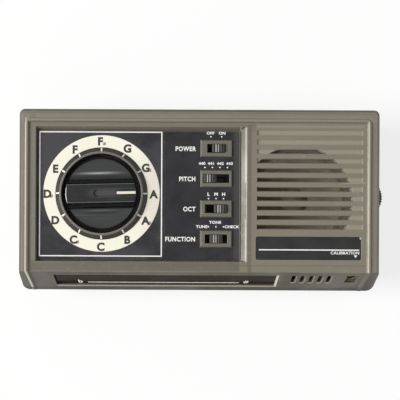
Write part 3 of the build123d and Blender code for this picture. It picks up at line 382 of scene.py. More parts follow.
# ------------------------------------------------------------------ the frame's own nodes
shell_grey = dict(
    base=colour(121, 115, 101), pale=colour(196, 190, 174), dark=colour(109, 103, 88)
)
case_zones = {
    # Painted shade: the bevel that faces the rear is darkened.
    "rear bevel": zone(colour(70, 68, 56), 0.85, 0.3, Y=(44.0, FAR), Z=BEVEL),
    # Painted shade: a dark line in front of the rear bevel.
    "line before the rear bevel": zone(
        colour(98, 93, 80), 0.7, 0.2, Y=(43.0, 43.7), Z=(DECK - 1.8, DECK + 1.2)
    ),
    # Painted shade in front of the rear ridge, where the deck falls to the panel's recess.
    "deck before the rear ridge": zone(
        colour(104, 99, 86), 0.75, 0.4,
        X=(-84.0, 28.0), Y=(34.0, 38.5), Z=(DECK - 1.8, DECK + 0.2),
    ),
    # Painted highlight along the rear ridge's crest.
    "rear ridge, crest": zone(
        colour(138, 132, 118), 0.8, 0.15, X=(-84.0, 84.0), Y=(39.6, 39.9)
    ),
    # Painted highlight: a pale line behind the rear ridge.
    "rear ridge, foot behind": zone(
        colour(134, 128, 114), 0.8, 0.15, X=(-86.0, 86.0), Y=(41.1, 41.4)
    ),
    # Painted shade on the rear ridge's front side.
    "rear ridge, foot before": zone(
        colour(92, 87, 75), 0.7, 0.15, X=(-84.0, 83.0), Y=(38.4, 38.9)
    ),
    # Painted shadow line along the front of the deck.
    "line along the front of the deck": zone(
        colour(88, 83, 70), 0.75, 0.15, X=(-84.0, 83.0), Y=(-32.8, -32.4), Z=ON_DECK
    ),
    # Painted shade: the left bevel is darkened.
    "left bevel": zone(colour(68, 64, 55), 0.85, 0.3, X=(-FAR, -88.7), Z=BEVEL),
    # Painted highlight along the left ridge's outer side.
    "left ridge, painted highlight on the outer edge": zone(
        colour(182, 176, 163), 0.9, 0.15, X=(-87.0, -86.3), Y=(-36.0, 40.8)
    ),
    # Painted shade on the left ridge's inner side.
    "left ridge, inner side": zone(
        colour(100, 95, 85), 0.85, 0.3, X=(-85.9, -84.6), Y=(-36.0, 39.0)
    ),
    "deck beside the left ridge": zone(
        colour(110, 106, 95), 0.8, 0.4, X=(-84.5, -81.6), Z=(DECK - 0.8, DECK + 0.4)
    ),
    # Painted shade on the recess's left wall.
    "recess, left wall": zone(
        colour(92, 88, 78), 0.7, 0.3,
        X=(-82.2, -80.9), Y=(-32.0, 36.0), Z=(DECK - 2.8, DECK - 0.1),
    ),
    # Painted shade: the wide slope at the panel's right end is darkened.
    "recess, wide slope": zone(
        colour(92, 87, 75), 0.9, 0.3, X=(20.9, 22.9), Y=(-32.0, 37.0), Z=IN_RECESS
    ),
    # Painted highlight along the wide slope's foot.
    "recess, foot of the wide slope": zone(
        colour(170, 164, 150), 0.9, 0.15, X=(20.4, 20.9), Y=(-31.0, 36.6), Z=IN_RECESS
    ),
    # Painted highlight along the wide slope's top.
    "recess, top of the wide slope": zone(
        colour(166, 160, 146), 0.9, 0.2, X=(22.8, 23.5), Y=(-31.0, 36.6)
    ),
    "line beside the wide slope": zone(
        colour(96, 91, 77), 0.85, 0.15, X=(23.7, 24.2), Y=(-33.0, 37.5)
    ),
    "deck beside the wide slope": zone(
        colour(94, 89, 73), 0.8, 0.3, X=(24.2, 26.0), Y=(-36.0, 37.5)
    ),
    "deck before the panel": zone(
        colour(92, 87, 75), 0.85, 0.6, X=(-84.4, 20.0), Y=(-35.6, -30.2)
    ),
    # Painted highlight on the right ridge's inner side.
    "right ridge, painted highlight on the inner edge": zone(
        colour(178, 172, 154), 0.9, 0.12, X=(84.05, 84.6), Y=(-36.0, 40.0)
    ),
    # Painted light: a little lighter, lifting the shade on the right ridge's outer side.
    "right ridge, outer side": zone(
        colour(124, 118, 100), 0.85, 0.3, X=(84.9, 86.0), Y=(-36.0, 41.0)
    ),
    # Painted shade over the whole sloping front.
    "sloping front": zone(colour(74, 68, 53), 0.92, 0.3, Y=SLOPE),
    "slope between window and microphone": zone(
        colour(62, 57, 45), 0.8, 0.3, X=(42.4, 50.0, 2.0), Y=SLOPE, Z=(26.0, FAR, 3.0)
    ),
    # Painted highlight along the slope's left end.
    "slope, painted highlight on the left end": zone(colour(196, 190, 175), 0.9, 0.2, X=(-86.9, -85.5), Y=SLOPE),
    # Painted shade on the slope's right end.
    "slope, right end": zone(
        colour(56, 52, 44), 0.85, 0.3, X=(85.8, 89.7), Y=(-FAR, -35.8), Z=(24.0, FAR)
    ),
    # Painted shade at the slope's foot.
    "slope, foot": zone(colour(44, 41, 33), 0.9, 0.4, Y=(-FAR, -44.9), Z=(19.6, FAR)),
    # Painted highlight on the lip under the window.
    "lip under the window": zone(
        colour(172, 166, 150), 0.9, 0.15, X=(-73.4, 39.9), Y=(-44.5, -43.9)
    ),
    # Painted highlight on the right edge of the window's recess.
    "right edge of the window's recess, painted highlight": zone(
        colour(226, 220, 206), 0.95, 0.2, X=(39.6, 40.5), Y=(-44.4, -37.6)
    ),
    # Painted light: the groove floors are made paler.
    "groove floors": zone(
        colour(150, 144, 124), 0.7, 0.1, X=(28.0, 83.0), Y=(-17.0, 36.0), Z=GROOVE
    ),
    # Painted shade in the groove floors round the open slots.
    "groove floors round the open slots": zone(
        colour(72, 67, 55), 0.9, 0.1, GRILLE, Radius=(0.0, GRILLE_R), Z=GROOVE
    ),
    "deck behind the grille": zone(
        colour(140, 134, 117), 0.7, 0.4,
        X=(28.4, 82.0), Y=(36.2, 37.4), Z=(DECK - 0.7, DECK + 0.2),
    ),
    "switch frames": zone(
        colour(94, 92, 82), 0.9, 0.3, X=(-0.6, 17.6), Y=(-26.0, 32.0), Z=FRAMES
    ),
    "collar, outer side": zone(
        colour(36, 33, 29), 0.97, 0.2, DIAL, Radius=(20.95, 23.4), Z=(DECK - 2.8, DECK + 1.2)
    ),
    # Painted shade on the left of the collar's outer side.
    "collar, painted shade on the left of the outer side": zone(
        colour(28, 27, 26), 0.85, 0.2, DIAL,
        Radius=(20.95, 23.4), X=(-30.0, -8.0, 5.0), Z=(DECK - 2.8, FAR),
    ),
    # Painted highlight on the collar's crest.
    "collar, painted highlight on the crest": zone(
        colour(102, 98, 90), 0.9, 0.2, DIAL, Radius=(20.1, 20.9), Z=(DECK - 0.8, DECK + 1.2)
    ),
    # Painted shade in the well under the knob.
    "well under the knob, painted shade": zone(
        colour(34, 31, 29), 0.97, 0.1, DIAL, Radius=(4.0, 19.95), Z=(28.0, DECK + 1.2)
    ),
}
# Painted highlights on the right and lower edges of the microphone slots.
for index, x in enumerate(MIC_SLOTS):
    case_zones[f"microphone slot {index}, worn right edge"] = zone(
        colour(150, 144, 128), 0.85, 0.15, X=(x + 1.15, x + 1.6), Y=(-42.0, -38.2)
    )
    case_zones[f"microphone slot {index}, worn lower edge"] = zone(
        colour(160, 154, 138), 0.85, 0.2, X=(x - 0.9, x + 1.3), Y=(-42.3, -41.8)
    )

case_finish = finish(
    "taupe case plastic", **shell_grey, rough=0.46, tone_size=0.035, speck_amount=0.1,
    edge_amount=0.45, edge_radius=0.00035, zones=case_zones,
)
lower_finish = finish(
    "lower case plastic", **shell_grey, rough=0.52, tone_size=0.04, speck_amount=0.06,
    edge_amount=0.25,
)
door_finish = finish(
    "battery door plastic", **shell_grey, rough=0.5, tone_size=0.03, scuffs=0.6,
)
panel_finish = finish(
    "black panel lacquer", colour(64, 64, 68), colour(104, 104, 106), colour(24, 24, 27),
    rough=0.38, tone_size=0.016, tone_amount=0.85, speck_amount=0.05, grain_depth=0.000006,
    edge_amount=0.35, scuffs=0.2, specular=0.25,
    zones={
        "hazy rear left corner": zone(
            colour(68, 68, 72), 0.7, 12.0, X=(-95.0, -60.0), Y=(8.0, FAR)
        ),
        "round the switches": zone(colour(8, 8, 9), 0.5, 2.0, X=(-18.0, 17.0)),
        "rubbed right side": zone(colour(64, 64, 60), 0.7, 0.6, X=(17.5, 21.0)),
        "dusty rear edge": zone(colour(92, 90, 80), 0.6, 0.4, X=(-90.0, 21.0), Y=(34.2, FAR)),
        # Painted highlight along the panel's right edge.
        "right edge, painted highlight": zone(colour(150, 146, 134), 0.8, 0.1, X=(20.1, 21.0)),
    },
)
badge_finish = finish(
    "black badge lacquer", colour(46, 46, 46), colour(110, 110, 108), colour(30, 30, 31),
    rough=0.36, tone_size=0.012, tone_amount=0.8, speck_amount=0.05, grain_depth=0.000005,
    edge_amount=0.4, scuffs=0.3, specular=0.25,
    zones={
        "chipped corner": zone(
            colour(236, 234, 228), 0.95, 0.15, X=(80.1, 82.0), Y=(-19.3, -17.0)
        )
    },
)
knob_finish = finish(
    "black knob plastic", colour(64, 66, 66), colour(150, 151, 151), colour(54, 56, 56),
    rough=0.3, tone_size=0.012, speck_amount=0.03, grain_depth=0.000006,
    edge_radius=0.0003, edge_amount=0.55, scuffs=0.25, specular=0.15,
    zones={
        # Painted shade and painted highlights on the knob's scoops; they turn with it.
        "rear scoop, painted shade at the foot": zone(colour(40, 41, 41), 0.8, 1.0, KNOB, Y=(7.4, 9.0)),
        "rear scoop, painted highlight on the crest": zone(
            colour(206, 208, 208), 0.95, 0.7, KNOB, X=(-7.0, 5.0, 9.0), Y=(9.9, 10.5)
        ),
        # Painted shade in the troughs beside the handle.
        "rear trough": zone(colour(10, 10, 10), 0.96, 0.6, KNOB, Y=(4.7, 7.3)),
        "front trough": zone(colour(8, 8, 8), 0.97, 0.5, KNOB, Y=(-7.6, -4.9)),
        "front scoop, painted highlight on the crest": zone(
            colour(96, 96, 96), 0.9, 0.4, KNOB, X=(-6.0, 5.0, 5.0), Y=(-8.8, -8.2)
        ),
        "front scoop, painted shade line": zone(
            colour(32, 32, 32), 0.8, 0.5, KNOB, X=(-8.0, 7.0, 5.0), Y=(-10.0, -9.2)
        ),
        "handle": zone(colour(40, 40, 41), 0.92, 0.3, KNOB, Y=(-4.7, 4.7), Z=HANDLE),
        "channel in the handle": zone(
            colour(76, 75, 75), 0.9, 1.0, KNOB, X=(-5.0, 9.0, 4.0), Y=(-1.8, 2.0), Z=HANDLE
        ),
        "handle, worn rear edge": zone(
            colour(104, 105, 105), 0.85, 0.08, KNOB, Y=(4.3, 4.7), Z=HANDLE_CREST
        ),
        "handle, worn front edge": zone(
            colour(104, 105, 105), 0.85, 0.08, KNOB, Y=(-4.7, -4.3), Z=HANDLE_CREST
        ),
        # Painted shade on the rim round the knob's top.
        "rim": zone(colour(8, 8, 8), 0.97, 0.2, KNOB, Radius=(17.7, 30.0)),
        # Painted highlight on the handle's blunt end.
        "handle, painted highlight on the blunt end": zone(
            colour(238, 238, 235), 0.95, 0.1, KNOB,
            Radius=(17.15, 17.4), X=(-18.0, -12.0), Y=(-3.6, 3.0, 1.2), Z=(39.5, 42.0),
        ),
    },
)
cap_zones = {"ribs": zone(colour(84, 83, 79), 0.9, 0.04, Z=RIBS)}
for label in SWITCHES:
    low, high = (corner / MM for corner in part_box(f"{label}_switch_cap"))
    # Wear and a painted highlight on the ribs at each cap's left end.
    cap_zones[f"{label}, worn ribs"] = zone(
        colour(178, 175, 166), 0.9, 0.04,
        X=(low.x + 1.0, low.x + 3.3), Y=(low.y, high.y), Z=RIBS,
    )
    # Painted shade on each cap's right end.
    cap_zones[f"{label}, dark right end"] = zone(
        colour(24, 23, 22), 0.92, 0.12,
        X=(high.x - 1.5, high.x + 0.3), Y=(low.y, high.y), Z=(38.0, 39.6),
    )
cap_finish = finish(
    "black switch cap plastic", colour(34, 33, 32), colour(140, 137, 130), colour(14, 14, 13),
    rough=0.34, tone_size=0.003, grain_size=0.0002, grain_depth=0.000008,
    edge_radius=0.00015, edge_amount=0.5, speck_amount=0.1, scuffs=0.3, specular=0.25,
    zones=cap_zones,
)
pointer_finish = finish(
    "pale pointer plastic", colour(232, 228, 206), colour(244, 241, 226), colour(206, 200, 172),
    rough=0.35, tone_size=0.004, grain_depth=0.000004, edge_amount=0.2, scuffs=0.1,
)
window_finish = finish(
    "smoked window plastic", colour(44, 33, 28), colour(92, 84, 76), colour(34, 25, 21),
    rough=0.3, rough_spread=0.06, tone_size=0.02, grain_size=0.003, grain_depth=0.000002,
    edge_amount=0.3, speck_amount=0.06, scuffs=0.25, specular=0.06,
)
rubber_finish = finish(
    "foot rubber", colour(40, 40, 39), colour(84, 83, 80), colour(28, 28, 27),
    rough=0.78, tone_size=0.006, grain_depth=0.00003, scuffs=0.4,
)
steel_finish = finish(
    "plated steel", colour(168, 168, 166), colour(214, 214, 210), colour(118, 117, 114),
    rough=0.32, tone_size=0.004, grain_size=0.0003, grain_depth=0.000004, metal=1.0,
)
brass_finish = finish(
    "trimmer brass", colour(190, 160, 92), colour(226, 206, 150), colour(132, 106, 56),
    rough=0.34, tone_size=0.002, grain_size=0.0002, grain_depth=0.000004, metal=1.0,
)
black_finish = finish(
    "black inner plastic", colour(36, 36, 36), colour(80, 80, 80), colour(24, 24, 24),
    rough=0.6, tone_size=0.008, grain_depth=0.00001,
)
jack_finish = finish(
    "black jack plastic", colour(32, 32, 33), colour(96, 96, 95), colour(20, 20, 20),
    rough=0.34, tone_size=0.004, grain_depth=0.000006, edge_amount=0.5,
)
wheel_finish = finish(
    "black wheel plastic", colour(36, 35, 34), colour(110, 108, 104), colour(22, 22, 21),
    rough=0.4, tone_size=0.004, grain_depth=0.000008, edge_radius=0.0002,
)
lamp_finish = finish(
    "red lamp plastic", colour(150, 30, 24), colour(214, 96, 80), colour(96, 14, 12),
    rough=0.28, tone_size=0.003, grain_depth=0.000003,
)
chip_finish = finish(
    "black chip resin", colour(34, 34, 36), colour(92, 92, 94), colour(24, 24, 25),
    rough=0.56, tone_size=0.004, grain_size=0.0002, grain_depth=0.00001,
)
capacitor_finish = finish(
    "blue capacitor sleeve", colour(30, 44, 78), colour(120, 134, 168), colour(18, 28, 54),
    rough=0.3, tone_size=0.004, grain_depth=0.000004,
)
trimmer_finish = finish(
    "blue trimmer plastic", colour(36, 84, 140), colour(120, 158, 200), colour(22, 56, 100),
    rough=0.36, tone_size=0.003, grain_depth=0.000004,
)
can_finish = finish(
    "microphone can", colour(190, 190, 188), colour(222, 222, 220), colour(140, 140, 138),
    rough=0.36, tone_size=0.002, grain_depth=0.000003, metal=1.0,
)
cone_finish = finish(
    "pulp speaker cone", colour(146, 137, 114), colour(172, 163, 142), colour(122, 114, 94),
    rough=0.9, rough_spread=0.05, tone_size=0.004, tone_amount=0.6, grain_size=0.0007,
    grain_depth=0.00008, edge_amount=0.1, scuffs=0.0, specular=0.2,
)
magnet_finish = finish(
    "ferrite magnet", colour(58, 58, 60), colour(104, 104, 106), colour(40, 40, 42),
    rough=0.62, tone_size=0.003, grain_depth=0.00002,
)
basket_finish = finish(
    "painted speaker basket", colour(120, 113, 95), colour(150, 144, 126), colour(96, 90, 76),
    rough=0.55, tone_size=0.005, grain_depth=0.000004,
)


def board_finish(name, base, copper):
    """Solder-masked board: tracks as bands of two crossed waves over a fibre weave."""
    material, tree, shader, place = start_material(name)
    weave = use(tree, GRAIN, {"Vector": place, "Size": 0.0006})
    edges = use(tree, EDGES, {"Radius": 0.0002})
    waves = {"Scale": 130.0, "Distortion": 9.0, "Detail": 1.0, "Detail Scale": 0.6}
    bands = []
    for axis in ("X", "Y"):
        wave = add(
            tree, "ShaderNodeTexWave", {"Vector": place, **waves}, bands_direction=axis
        )
        bands.append(ramp(tree, wave.outputs["Fac"], 0.72, 0.78))
    gate = ramp(tree, noise(tree, place, 90.0, 0.0), 0.48, 0.52)
    chosen = blend_colours(tree, gate, *bands)
    tracks = blend_colours(tree, chosen, base, copper)
    worn = maths(tree, "MULTIPLY", edges.outputs["Edge"], 0.4)
    body = blend_colours(tree, worn, tracks, colour(170, 168, 120))
    tree.links.new(body, shader.inputs["Base Color"])
    tree.links.new(ramp(tree, chosen, 0.0, 1.0, 0.42, 0.3), shader.inputs["Roughness"])
    height, normal = weave.outputs["Height"], edges.outputs["Normal"]
    bump = add(
        tree, "ShaderNodeBump", {"Height": height, "Distance": 0.00001, "Normal": normal}
    )
    tree.links.new(bump.outputs["Normal"], shader.inputs["Normal"])
    return material


def cell_finish(name):
    """Penlight cell: printed jacket, dark over two thirds of its length, then gold."""
    material, tree, shader, place = start_material(name)
    low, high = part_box("batteries")
    along = add(tree, "ShaderNodeSeparateXYZ", {"Vector": place}).outputs["Y"]
    split_at = low.y + (high.y - low.y) * 0.66
    jacket = ramp(tree, along, split_at, split_at + 0.2 * MM)
    tones = use(tree, TONES, {"Vector": place, "Size": 0.012})
    body = blend_colours(tree, jacket, colour(36, 38, 44), colour(176, 132, 66))
    clouds = maths(tree, "MULTIPLY", tones.outputs["Tone"], 0.25)
    body = blend_colours(tree, clouds, body, colour(24, 24, 26))
    gloss = ramp(tree, tones.outputs["Specks"], 0.0, 1.0, 0.26, 0.4)
    tree.links.new(body, shader.inputs["Base Color"])
    tree.links.new(gloss, shader.inputs["Roughness"])
    shader.inputs["Metallic"].default_value = 0.6
    return material


main_board_finish = board_finish("board lacquer", colour(104, 118, 58), colour(142, 150, 82))
jacket_finish = cell_finish("cell jacket")

finishes = {
    "upper_case": case_finish,
    "lower_case": lower_finish,
    "battery_door": door_finish,
    "rubber_feet": rubber_finish,
    "control_panel": panel_finish,
    "badge_plate": badge_finish,
    "display_window": window_finish,
    "tuning_knob": knob_finish,
    "knob_pointer": pointer_finish,
    "lamp_shroud": black_finish,
    "speaker_basket": basket_finish,
    "speaker_cone": cone_finish,
    "speaker_dust_cap": cone_finish,
    "speaker_magnet": magnet_finish,
    "indicator_lamps": lamp_finish,
    "microphone": can_finish,
    "microphone_boot": rubber_finish,
    "calibration_trimmer": trimmer_finish,
    "calibration_rotor": brass_finish,
    "volume_spindle": brass_finish,
    "tuner_chip": chip_finish,
    "capacitors": capacitor_finish,
    "volume_wheel": wheel_finish,
    "batteries": jacket_finish,
}
for label, thing in node.items():
    if label in finishes:
        chosen = finishes[label]
    elif label.endswith("_board"):
        chosen = main_board_finish
    elif label.endswith("_switch"):
        chosen = black_finish
    elif label.endswith("_jack"):
        chosen = jack_finish
    elif label.endswith("_cap"):
        chosen = cap_finish
    else:
        chosen = steel_finish
    for slot in thing.material_slots:
        slot.material = chosen


# ------------------------------------------------------------------ print finishes
white_print = finish(
    "white print", colour(250, 248, 244), colour(254, 252, 248), colour(232, 229, 224),
    rough=0.5, tone_size=0.006, grain_depth=0.000004, edge_amount=0.0, scuffs=0.1,
)
cream_print = finish(
    "cream ring print", colour(243, 239, 222), colour(249, 247, 236), colour(234, 229, 208),
    rough=0.46, tone_size=0.01, grain_depth=0.000006, edge_amount=0.0, scuffs=0.15,
    zones={"greyed right side": zone(colour(218, 212, 196), 0.85, 6.0, DIAL, X=(22.0, 50.0))},
)
black_print = finish(
    "black print", colour(34, 33, 33), colour(70, 68, 66), colour(24, 23, 23),
    rough=0.5, tone_size=0.004, grain_depth=0.000004, edge_amount=0.0, scuffs=0.1,
)
PRINT_T = 0.04 * MM                      # thickness of the print


# ------------------------------------------------------------------ new surfaces
def faces_from(*groups):
    """Corner indices and corner counts of faces, from arrays of faces of equal counts."""
    corners = np.concatenate([group.ravel() for group in groups])
    counts = np.concatenate([np.full(len(group), group.shape[1]) for group in groups])
    return corners, counts


def mesh_object(name, points, faces, material):
    """Flat-shaded object at the origin that rides on the case, from whole arrays.

    Faces are the corner indices and the corner counts that faces_from gives.
    """
    corners, counts = (np.asarray(part, np.int32) for part in faces)
    mesh = bpy.data.meshes.new(name)
    mesh.vertices.add(len(points))
    mesh.vertices.foreach_set("co", np.asarray(points, np.float32).ravel())
    mesh.loops.add(len(corners))
    mesh.loops.foreach_set("vertex_index", corners)
    mesh.polygons.add(len(counts))
    mesh.polygons.foreach_set("loop_start", np.cumsum(counts, dtype=np.int32) - counts)
    mesh.polygons.foreach_set("use_smooth", np.zeros(len(counts), bool))
    mesh.update(calc_edges=True)
    mesh.validate()
    mesh.materials.append(material)
    thing = bpy.data.objects.new(name, mesh)
    bpy.context.scene.collection.objects.link(thing)
    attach(thing, "case")
    return thing


def set_down(points, place):
    """Points of the printed plane, moved by a placing matrix where there is one."""
    if place is None:
        return points
    turn = np.array(place)
    return points @ turn[:3, :3].T + turn[:3, 3]


def annulus(name, centre, inner, outer, low, high, material, segments=192):
    """Flat ring of rectangular section: the section's four corners swept round Z."""
    turn = np.linspace(0.0, 2.0 * pi, segments, endpoint=False)
    radius, height = np.array([(inner, low), (outer, low), (outer, high), (inner, high)]).T
    across = radius[:, None] * np.cos(turn)
    along = radius[:, None] * np.sin(turn)
    level = np.broadcast_to(height[:, None], across.shape)
    points = np.stack([centre.x + across, centre.y + along, level], -1).reshape(-1, 3)
    corner, step = np.divmod(np.arange(4 * segments), segments)
    here, there = corner * segments, (corner + 1) % 4 * segments
    ahead = (step + 1) % segments
    quads = np.stack([here + step, here + ahead, there + ahead, there + step], -1)
    return mesh_object(name, points, faces_from(quads), material)


BOX_CORNERS = np.array(
    [[0, 0, 0], [1, 0, 0], [1, 1, 0], [0, 1, 0], [0, 0, 1], [1, 0, 1], [1, 1, 1], [0, 1, 1]]
)
BOX_SIDES = np.array(
    [[0, 3, 2, 1], [4, 5, 6, 7], [0, 1, 5, 4], [1, 2, 6, 5], [2, 3, 7, 6], [3, 0, 4, 7]]
)


def box_faces(count):
    """Faces of boxes whose points run round the foot, then round the top, box by box."""
    return faces_from((BOX_SIDES + 8 * np.arange(count)[:, None, None]).reshape(-1, 4))


def plates(name, boxes, material, place=None):
    """Thin plates: each point is the box's lowest corner plus its share of the box's size."""
    spans = np.array(boxes, float)
    points = spans[:, :1] + BOX_CORNERS * (spans[:, 1:] - spans[:, :1])
    points = set_down(points.reshape(-1, 3), place)
    return mesh_object(name, points, box_faces(len(spans)), material)


def outline_boxes(left, right, front, rear, wide, low, high):
    """Boxes of a rectangular line: the front and rear sides whole, the others between them."""
    return [
        ((left, front, low), (right, front + wide, high)),
        ((left, rear - wide, low), (right, rear, high)),
        ((left, front + wide, low), (left + wide, rear - wide, high)),
        ((right - wide, front + wide, low), (right, rear - wide, high)),
    ]


def prisms(name, outlines, low, high, material):
    """Upright prisms: each outline's points at two heights, closed by two caps.

    The outlines have equal numbers of points, anticlockwise as seen from above.
    """
    flat = np.repeat(np.array(outlines, float)[:, None], 2, axis=1)
    count, _, sides, _ = flat.shape
    level = np.broadcast_to(np.array([low, high])[:, None], (count, 2, sides))
    points = np.concatenate([flat, level[..., None]], -1).reshape(-1, 3)
    first = 2 * sides * np.arange(count)[:, None]
    foot = np.arange(sides)
    ahead = (foot + 1) % sides
    walls = first[..., None] + np.stack([foot, ahead, sides + ahead, sides + foot], -1)
    faces = faces_from(first + foot[::-1], first + sides + foot, walls.reshape(-1, 4))
    return mesh_object(name, points, faces, material)


def dots(name, spots, radius, low, high, material, sides=20):
    """Round dots: prisms on the points of a circle round each spot."""
    turn = np.linspace(0.0, 2.0 * pi, sides, endpoint=False)
    circle = radius * np.stack([np.cos(turn), np.sin(turn)], -1)
    outlines = np.array(spots)[:, None] + circle
    return prisms(name, outlines, low, high, material)


def collar_ticks(name, count, wide, inner_r, outer_r):
    """Painted ticks that lie on the collar's cone.

    A tick's four corners are at two radii, half its width to either side of its
    angle. Their height falls evenly from the cone's crest to its foot, and the
    top ones are higher by the thickness of the print.
    """
    radius = np.array([inner_r, outer_r, outer_r, inner_r])
    half_turn = np.array([-1, -1, 1, 1]) * wide / 2 / radius
    angle = np.arange(count)[:, None] * 2 * pi / count + half_turn
    fall = (radius - collar_crest_r) / (collar_foot_r - collar_crest_r)
    level = np.broadcast_to(panel_high.z + collar_rise * (1.0 - fall), angle.shape)
    across, along = dial.x + radius * np.cos(angle), dial.y + radius * np.sin(angle)
    foot = np.stack([across, along, level], -1)
    points = np.stack([foot, foot + (0.0, 0.0, PRINT_T)], 1).reshape(-1, 3)
    return mesh_object(name, points, box_faces(count), white_print)


def close_up(mesh):
    """Join a mesh's doubled points, turn its faces outwards, and count its folded edges."""
    solid = bmesh.new()
    solid.from_mesh(mesh)
    bmesh.ops.remove_doubles(solid, verts=solid.verts[:], dist=1e-7)
    bmesh.ops.recalc_face_normals(solid, faces=solid.faces[:])
    folded = sum(not edge.is_contiguous for edge in solid.edges)
    solid.to_mesh(mesh)
    solid.free()
    return folded


CAPITAL = 0.70                           # height of a capital in a font of size 1


def filled_word(text, tall, align, weight, spacing):
    """Mesh of one word: its outline filled, as fine as it can be with no face folded over."""
    for steps in (4, 3, 2):
        curve = bpy.data.curves.new(text, "FONT")
        curve.body = text
        curve.align_x = align
        curve.align_y = "CENTER"
        curve.size = tall / CAPITAL
        curve.space_character = spacing
        curve.offset = weight * tall
        curve.extrude = PRINT_T / 2
        curve.resolution_u = steps
        holder = bpy.data.objects.new(text, curve)
        mesh = bpy.data.meshes.new_from_object(holder)
        bpy.data.objects.remove(holder)
        bpy.data.curves.remove(curve)
        if close_up(mesh) == 0:
            break
    return mesh


def read(items, field, kind, width=1):
    """Whole array of one field of a mesh's points, corners or faces, in rows if it is wide."""
    values = np.zeros(len(items) * width, kind)
    items.foreach_get(field, values)
    return values if width == 1 else values.reshape(-1, width)


def words(
    name, items, material, lift, weight=0.0, width=1.0, spacing=1.0, place=None
):
    """Lettering as one mesh.

    Each item is (text, x, y, capital height, alignment) in the printed plane.
    A word's points are made as narrow or wide as width says, moved so that its
    middle is at y, and lifted by half the print's thickness.
    """
    points, corners, counts, start = [], [], [], 0
    for text, x, y, tall, align in items:
        mesh = filled_word(text, tall, align, weight, spacing)
        flat = read(mesh.vertices, "co", np.float32, 3).astype(float)
        centre = (flat[:, 1].min() + flat[:, 1].max()) / 2
        points.append(flat * (width, 1.0, 1.0) + (x, y - centre, lift + PRINT_T / 2))
        corners.append(start + read(mesh.loops, "vertex_index", np.int32))
        counts.append(read(mesh.polygons, "loop_total", np.int32))
        start += len(flat)
        bpy.data.meshes.remove(mesh)
    faces = np.concatenate(corners), np.concatenate(counts)
    return mesh_object(
        name, set_down(np.concatenate(points), place), faces, material
    )


# ------------------------------------------------------------------ note ring
panel_low, panel_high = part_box("control_panel")
print_z = panel_high.z
print_top = print_z + PRINT_T
dial = Vector((DIAL[0] * MM, DIAL[1] * MM))
collar_foot_r = 22.9 * MM
collar_crest_r = 20.7 * MM
collar_rise = 2.0 * MM
ring_out_r = 29.2 * MM
note_r = 26.4 * MM
note_h = 3.8 * MM
annulus(
    "note_ring_print", dial, collar_foot_r + 0.2 * MM, ring_out_r, print_z, print_top,
    cream_print,
)
NOTES = ("A", "G#", "G", "F#", "F", "E", "D#", "D", "C#", "C", "B", "A#")
letters, sharps = [], []
for step, note in enumerate(NOTES):
    angle = step * 2 * pi / len(NOTES)
    x = dial.x + note_r * cos(angle) - (0.8 if note.endswith("#") else 0.3) * MM
    y = dial.y + note_r * sin(angle) - (0.9 if note in "FE" else 0.3) * MM
    letters.append((note[0], x, y, note_h, "CENTER"))
    if note.endswith("#"):
        sharps.append(("#", x + 0.56 * note_h, y - 0.32 * note_h, 0.42 * note_h, "CENTER"))
words("note_letters", letters, black_print, print_top, weight=0.068)
words("sharp_signs", sharps, black_print, print_top, weight=0.02)
collar_ticks("collar_ticks", len(NOTES), 0.75 * MM, 20.9 * MM, 22.8 * MM)

# ------------------------------------------------------------------ panel print
border = outline_boxes(
    left=panel_low.x + 0.65 * MM,
    right=-18.6 * MM,
    front=panel_low.y + 1.55 * MM,
    rear=panel_high.y - 0.65 * MM,
    wide=0.6 * MM,
    low=print_z,
    high=print_top,
)
plates("dial_border_print", border, white_print)

switch_x = 8.4 * MM
switch_y = [middle(f"{label}_switch")[1] * MM for label in SWITCHES]
power_y, pitch_y, octave_y, function_y = switch_y
words(
    "switch_names",
    [
        (text, switch_x - 10.3 * MM, y - 0.2 * MM, 2.2 * MM, "RIGHT")
        for text, y in zip(("POWER", "PITCH", "OCT", "FUNCTION"), switch_y)
    ],
    white_print, print_z, weight=0.05, width=0.87, spacing=1.12,
)
small_h = 1.35 * MM
settings = [
    ("OFF", switch_x - 2.9 * MM, power_y + 7.7 * MM, small_h, "CENTER"),
    ("ON", switch_x + 2.9 * MM, power_y + 7.7 * MM, small_h, "CENTER"),
    ("TONE", switch_x - 0.4 * MM, function_y + 8.3 * MM, small_h, "CENTER"),
    ("TUNE", switch_x - 7.1 * MM, function_y + 6.1 * MM, small_h, "CENTER"),
    ("CHECK", switch_x + 7.9 * MM, function_y + 6.1 * MM, small_h, "CENTER"),
]
settings += [
    (str(hertz), switch_x + ((i - 1.5) * 4.6 - 0.2) * MM, pitch_y + 7.6 * MM, small_h, "CENTER")
    for i, hertz in enumerate(range(440, 444))
]
settings += [
    (text, switch_x + (i - 1) * 3.8 * MM, octave_y + 7.3 * MM, 1.15 * small_h, "CENTER")
    for i, text in enumerate("LMH")
]
words(
    "switch_settings", settings, white_print, print_z,
    weight=0.06, width=1.1, spacing=1.06,
)
dot_pitch = 3.75 * MM
spots = [(switch_x + side * 2.7 * MM, power_y + 5.9 * MM) for side in (-1, 1)]
spots += [(switch_x + (i - 1.5) * dot_pitch, pitch_y + 5.6 * MM) for i in range(4)]
spots += [(switch_x + (i - 1) * dot_pitch, octave_y + 5.1 * MM) for i in range(3)]
spots += [(switch_x + (i - 1) * dot_pitch, function_y + 6.1 * MM) for i in range(3)]
dots("setting_dots", spots, 0.38 * MM, print_z, print_top, white_print)

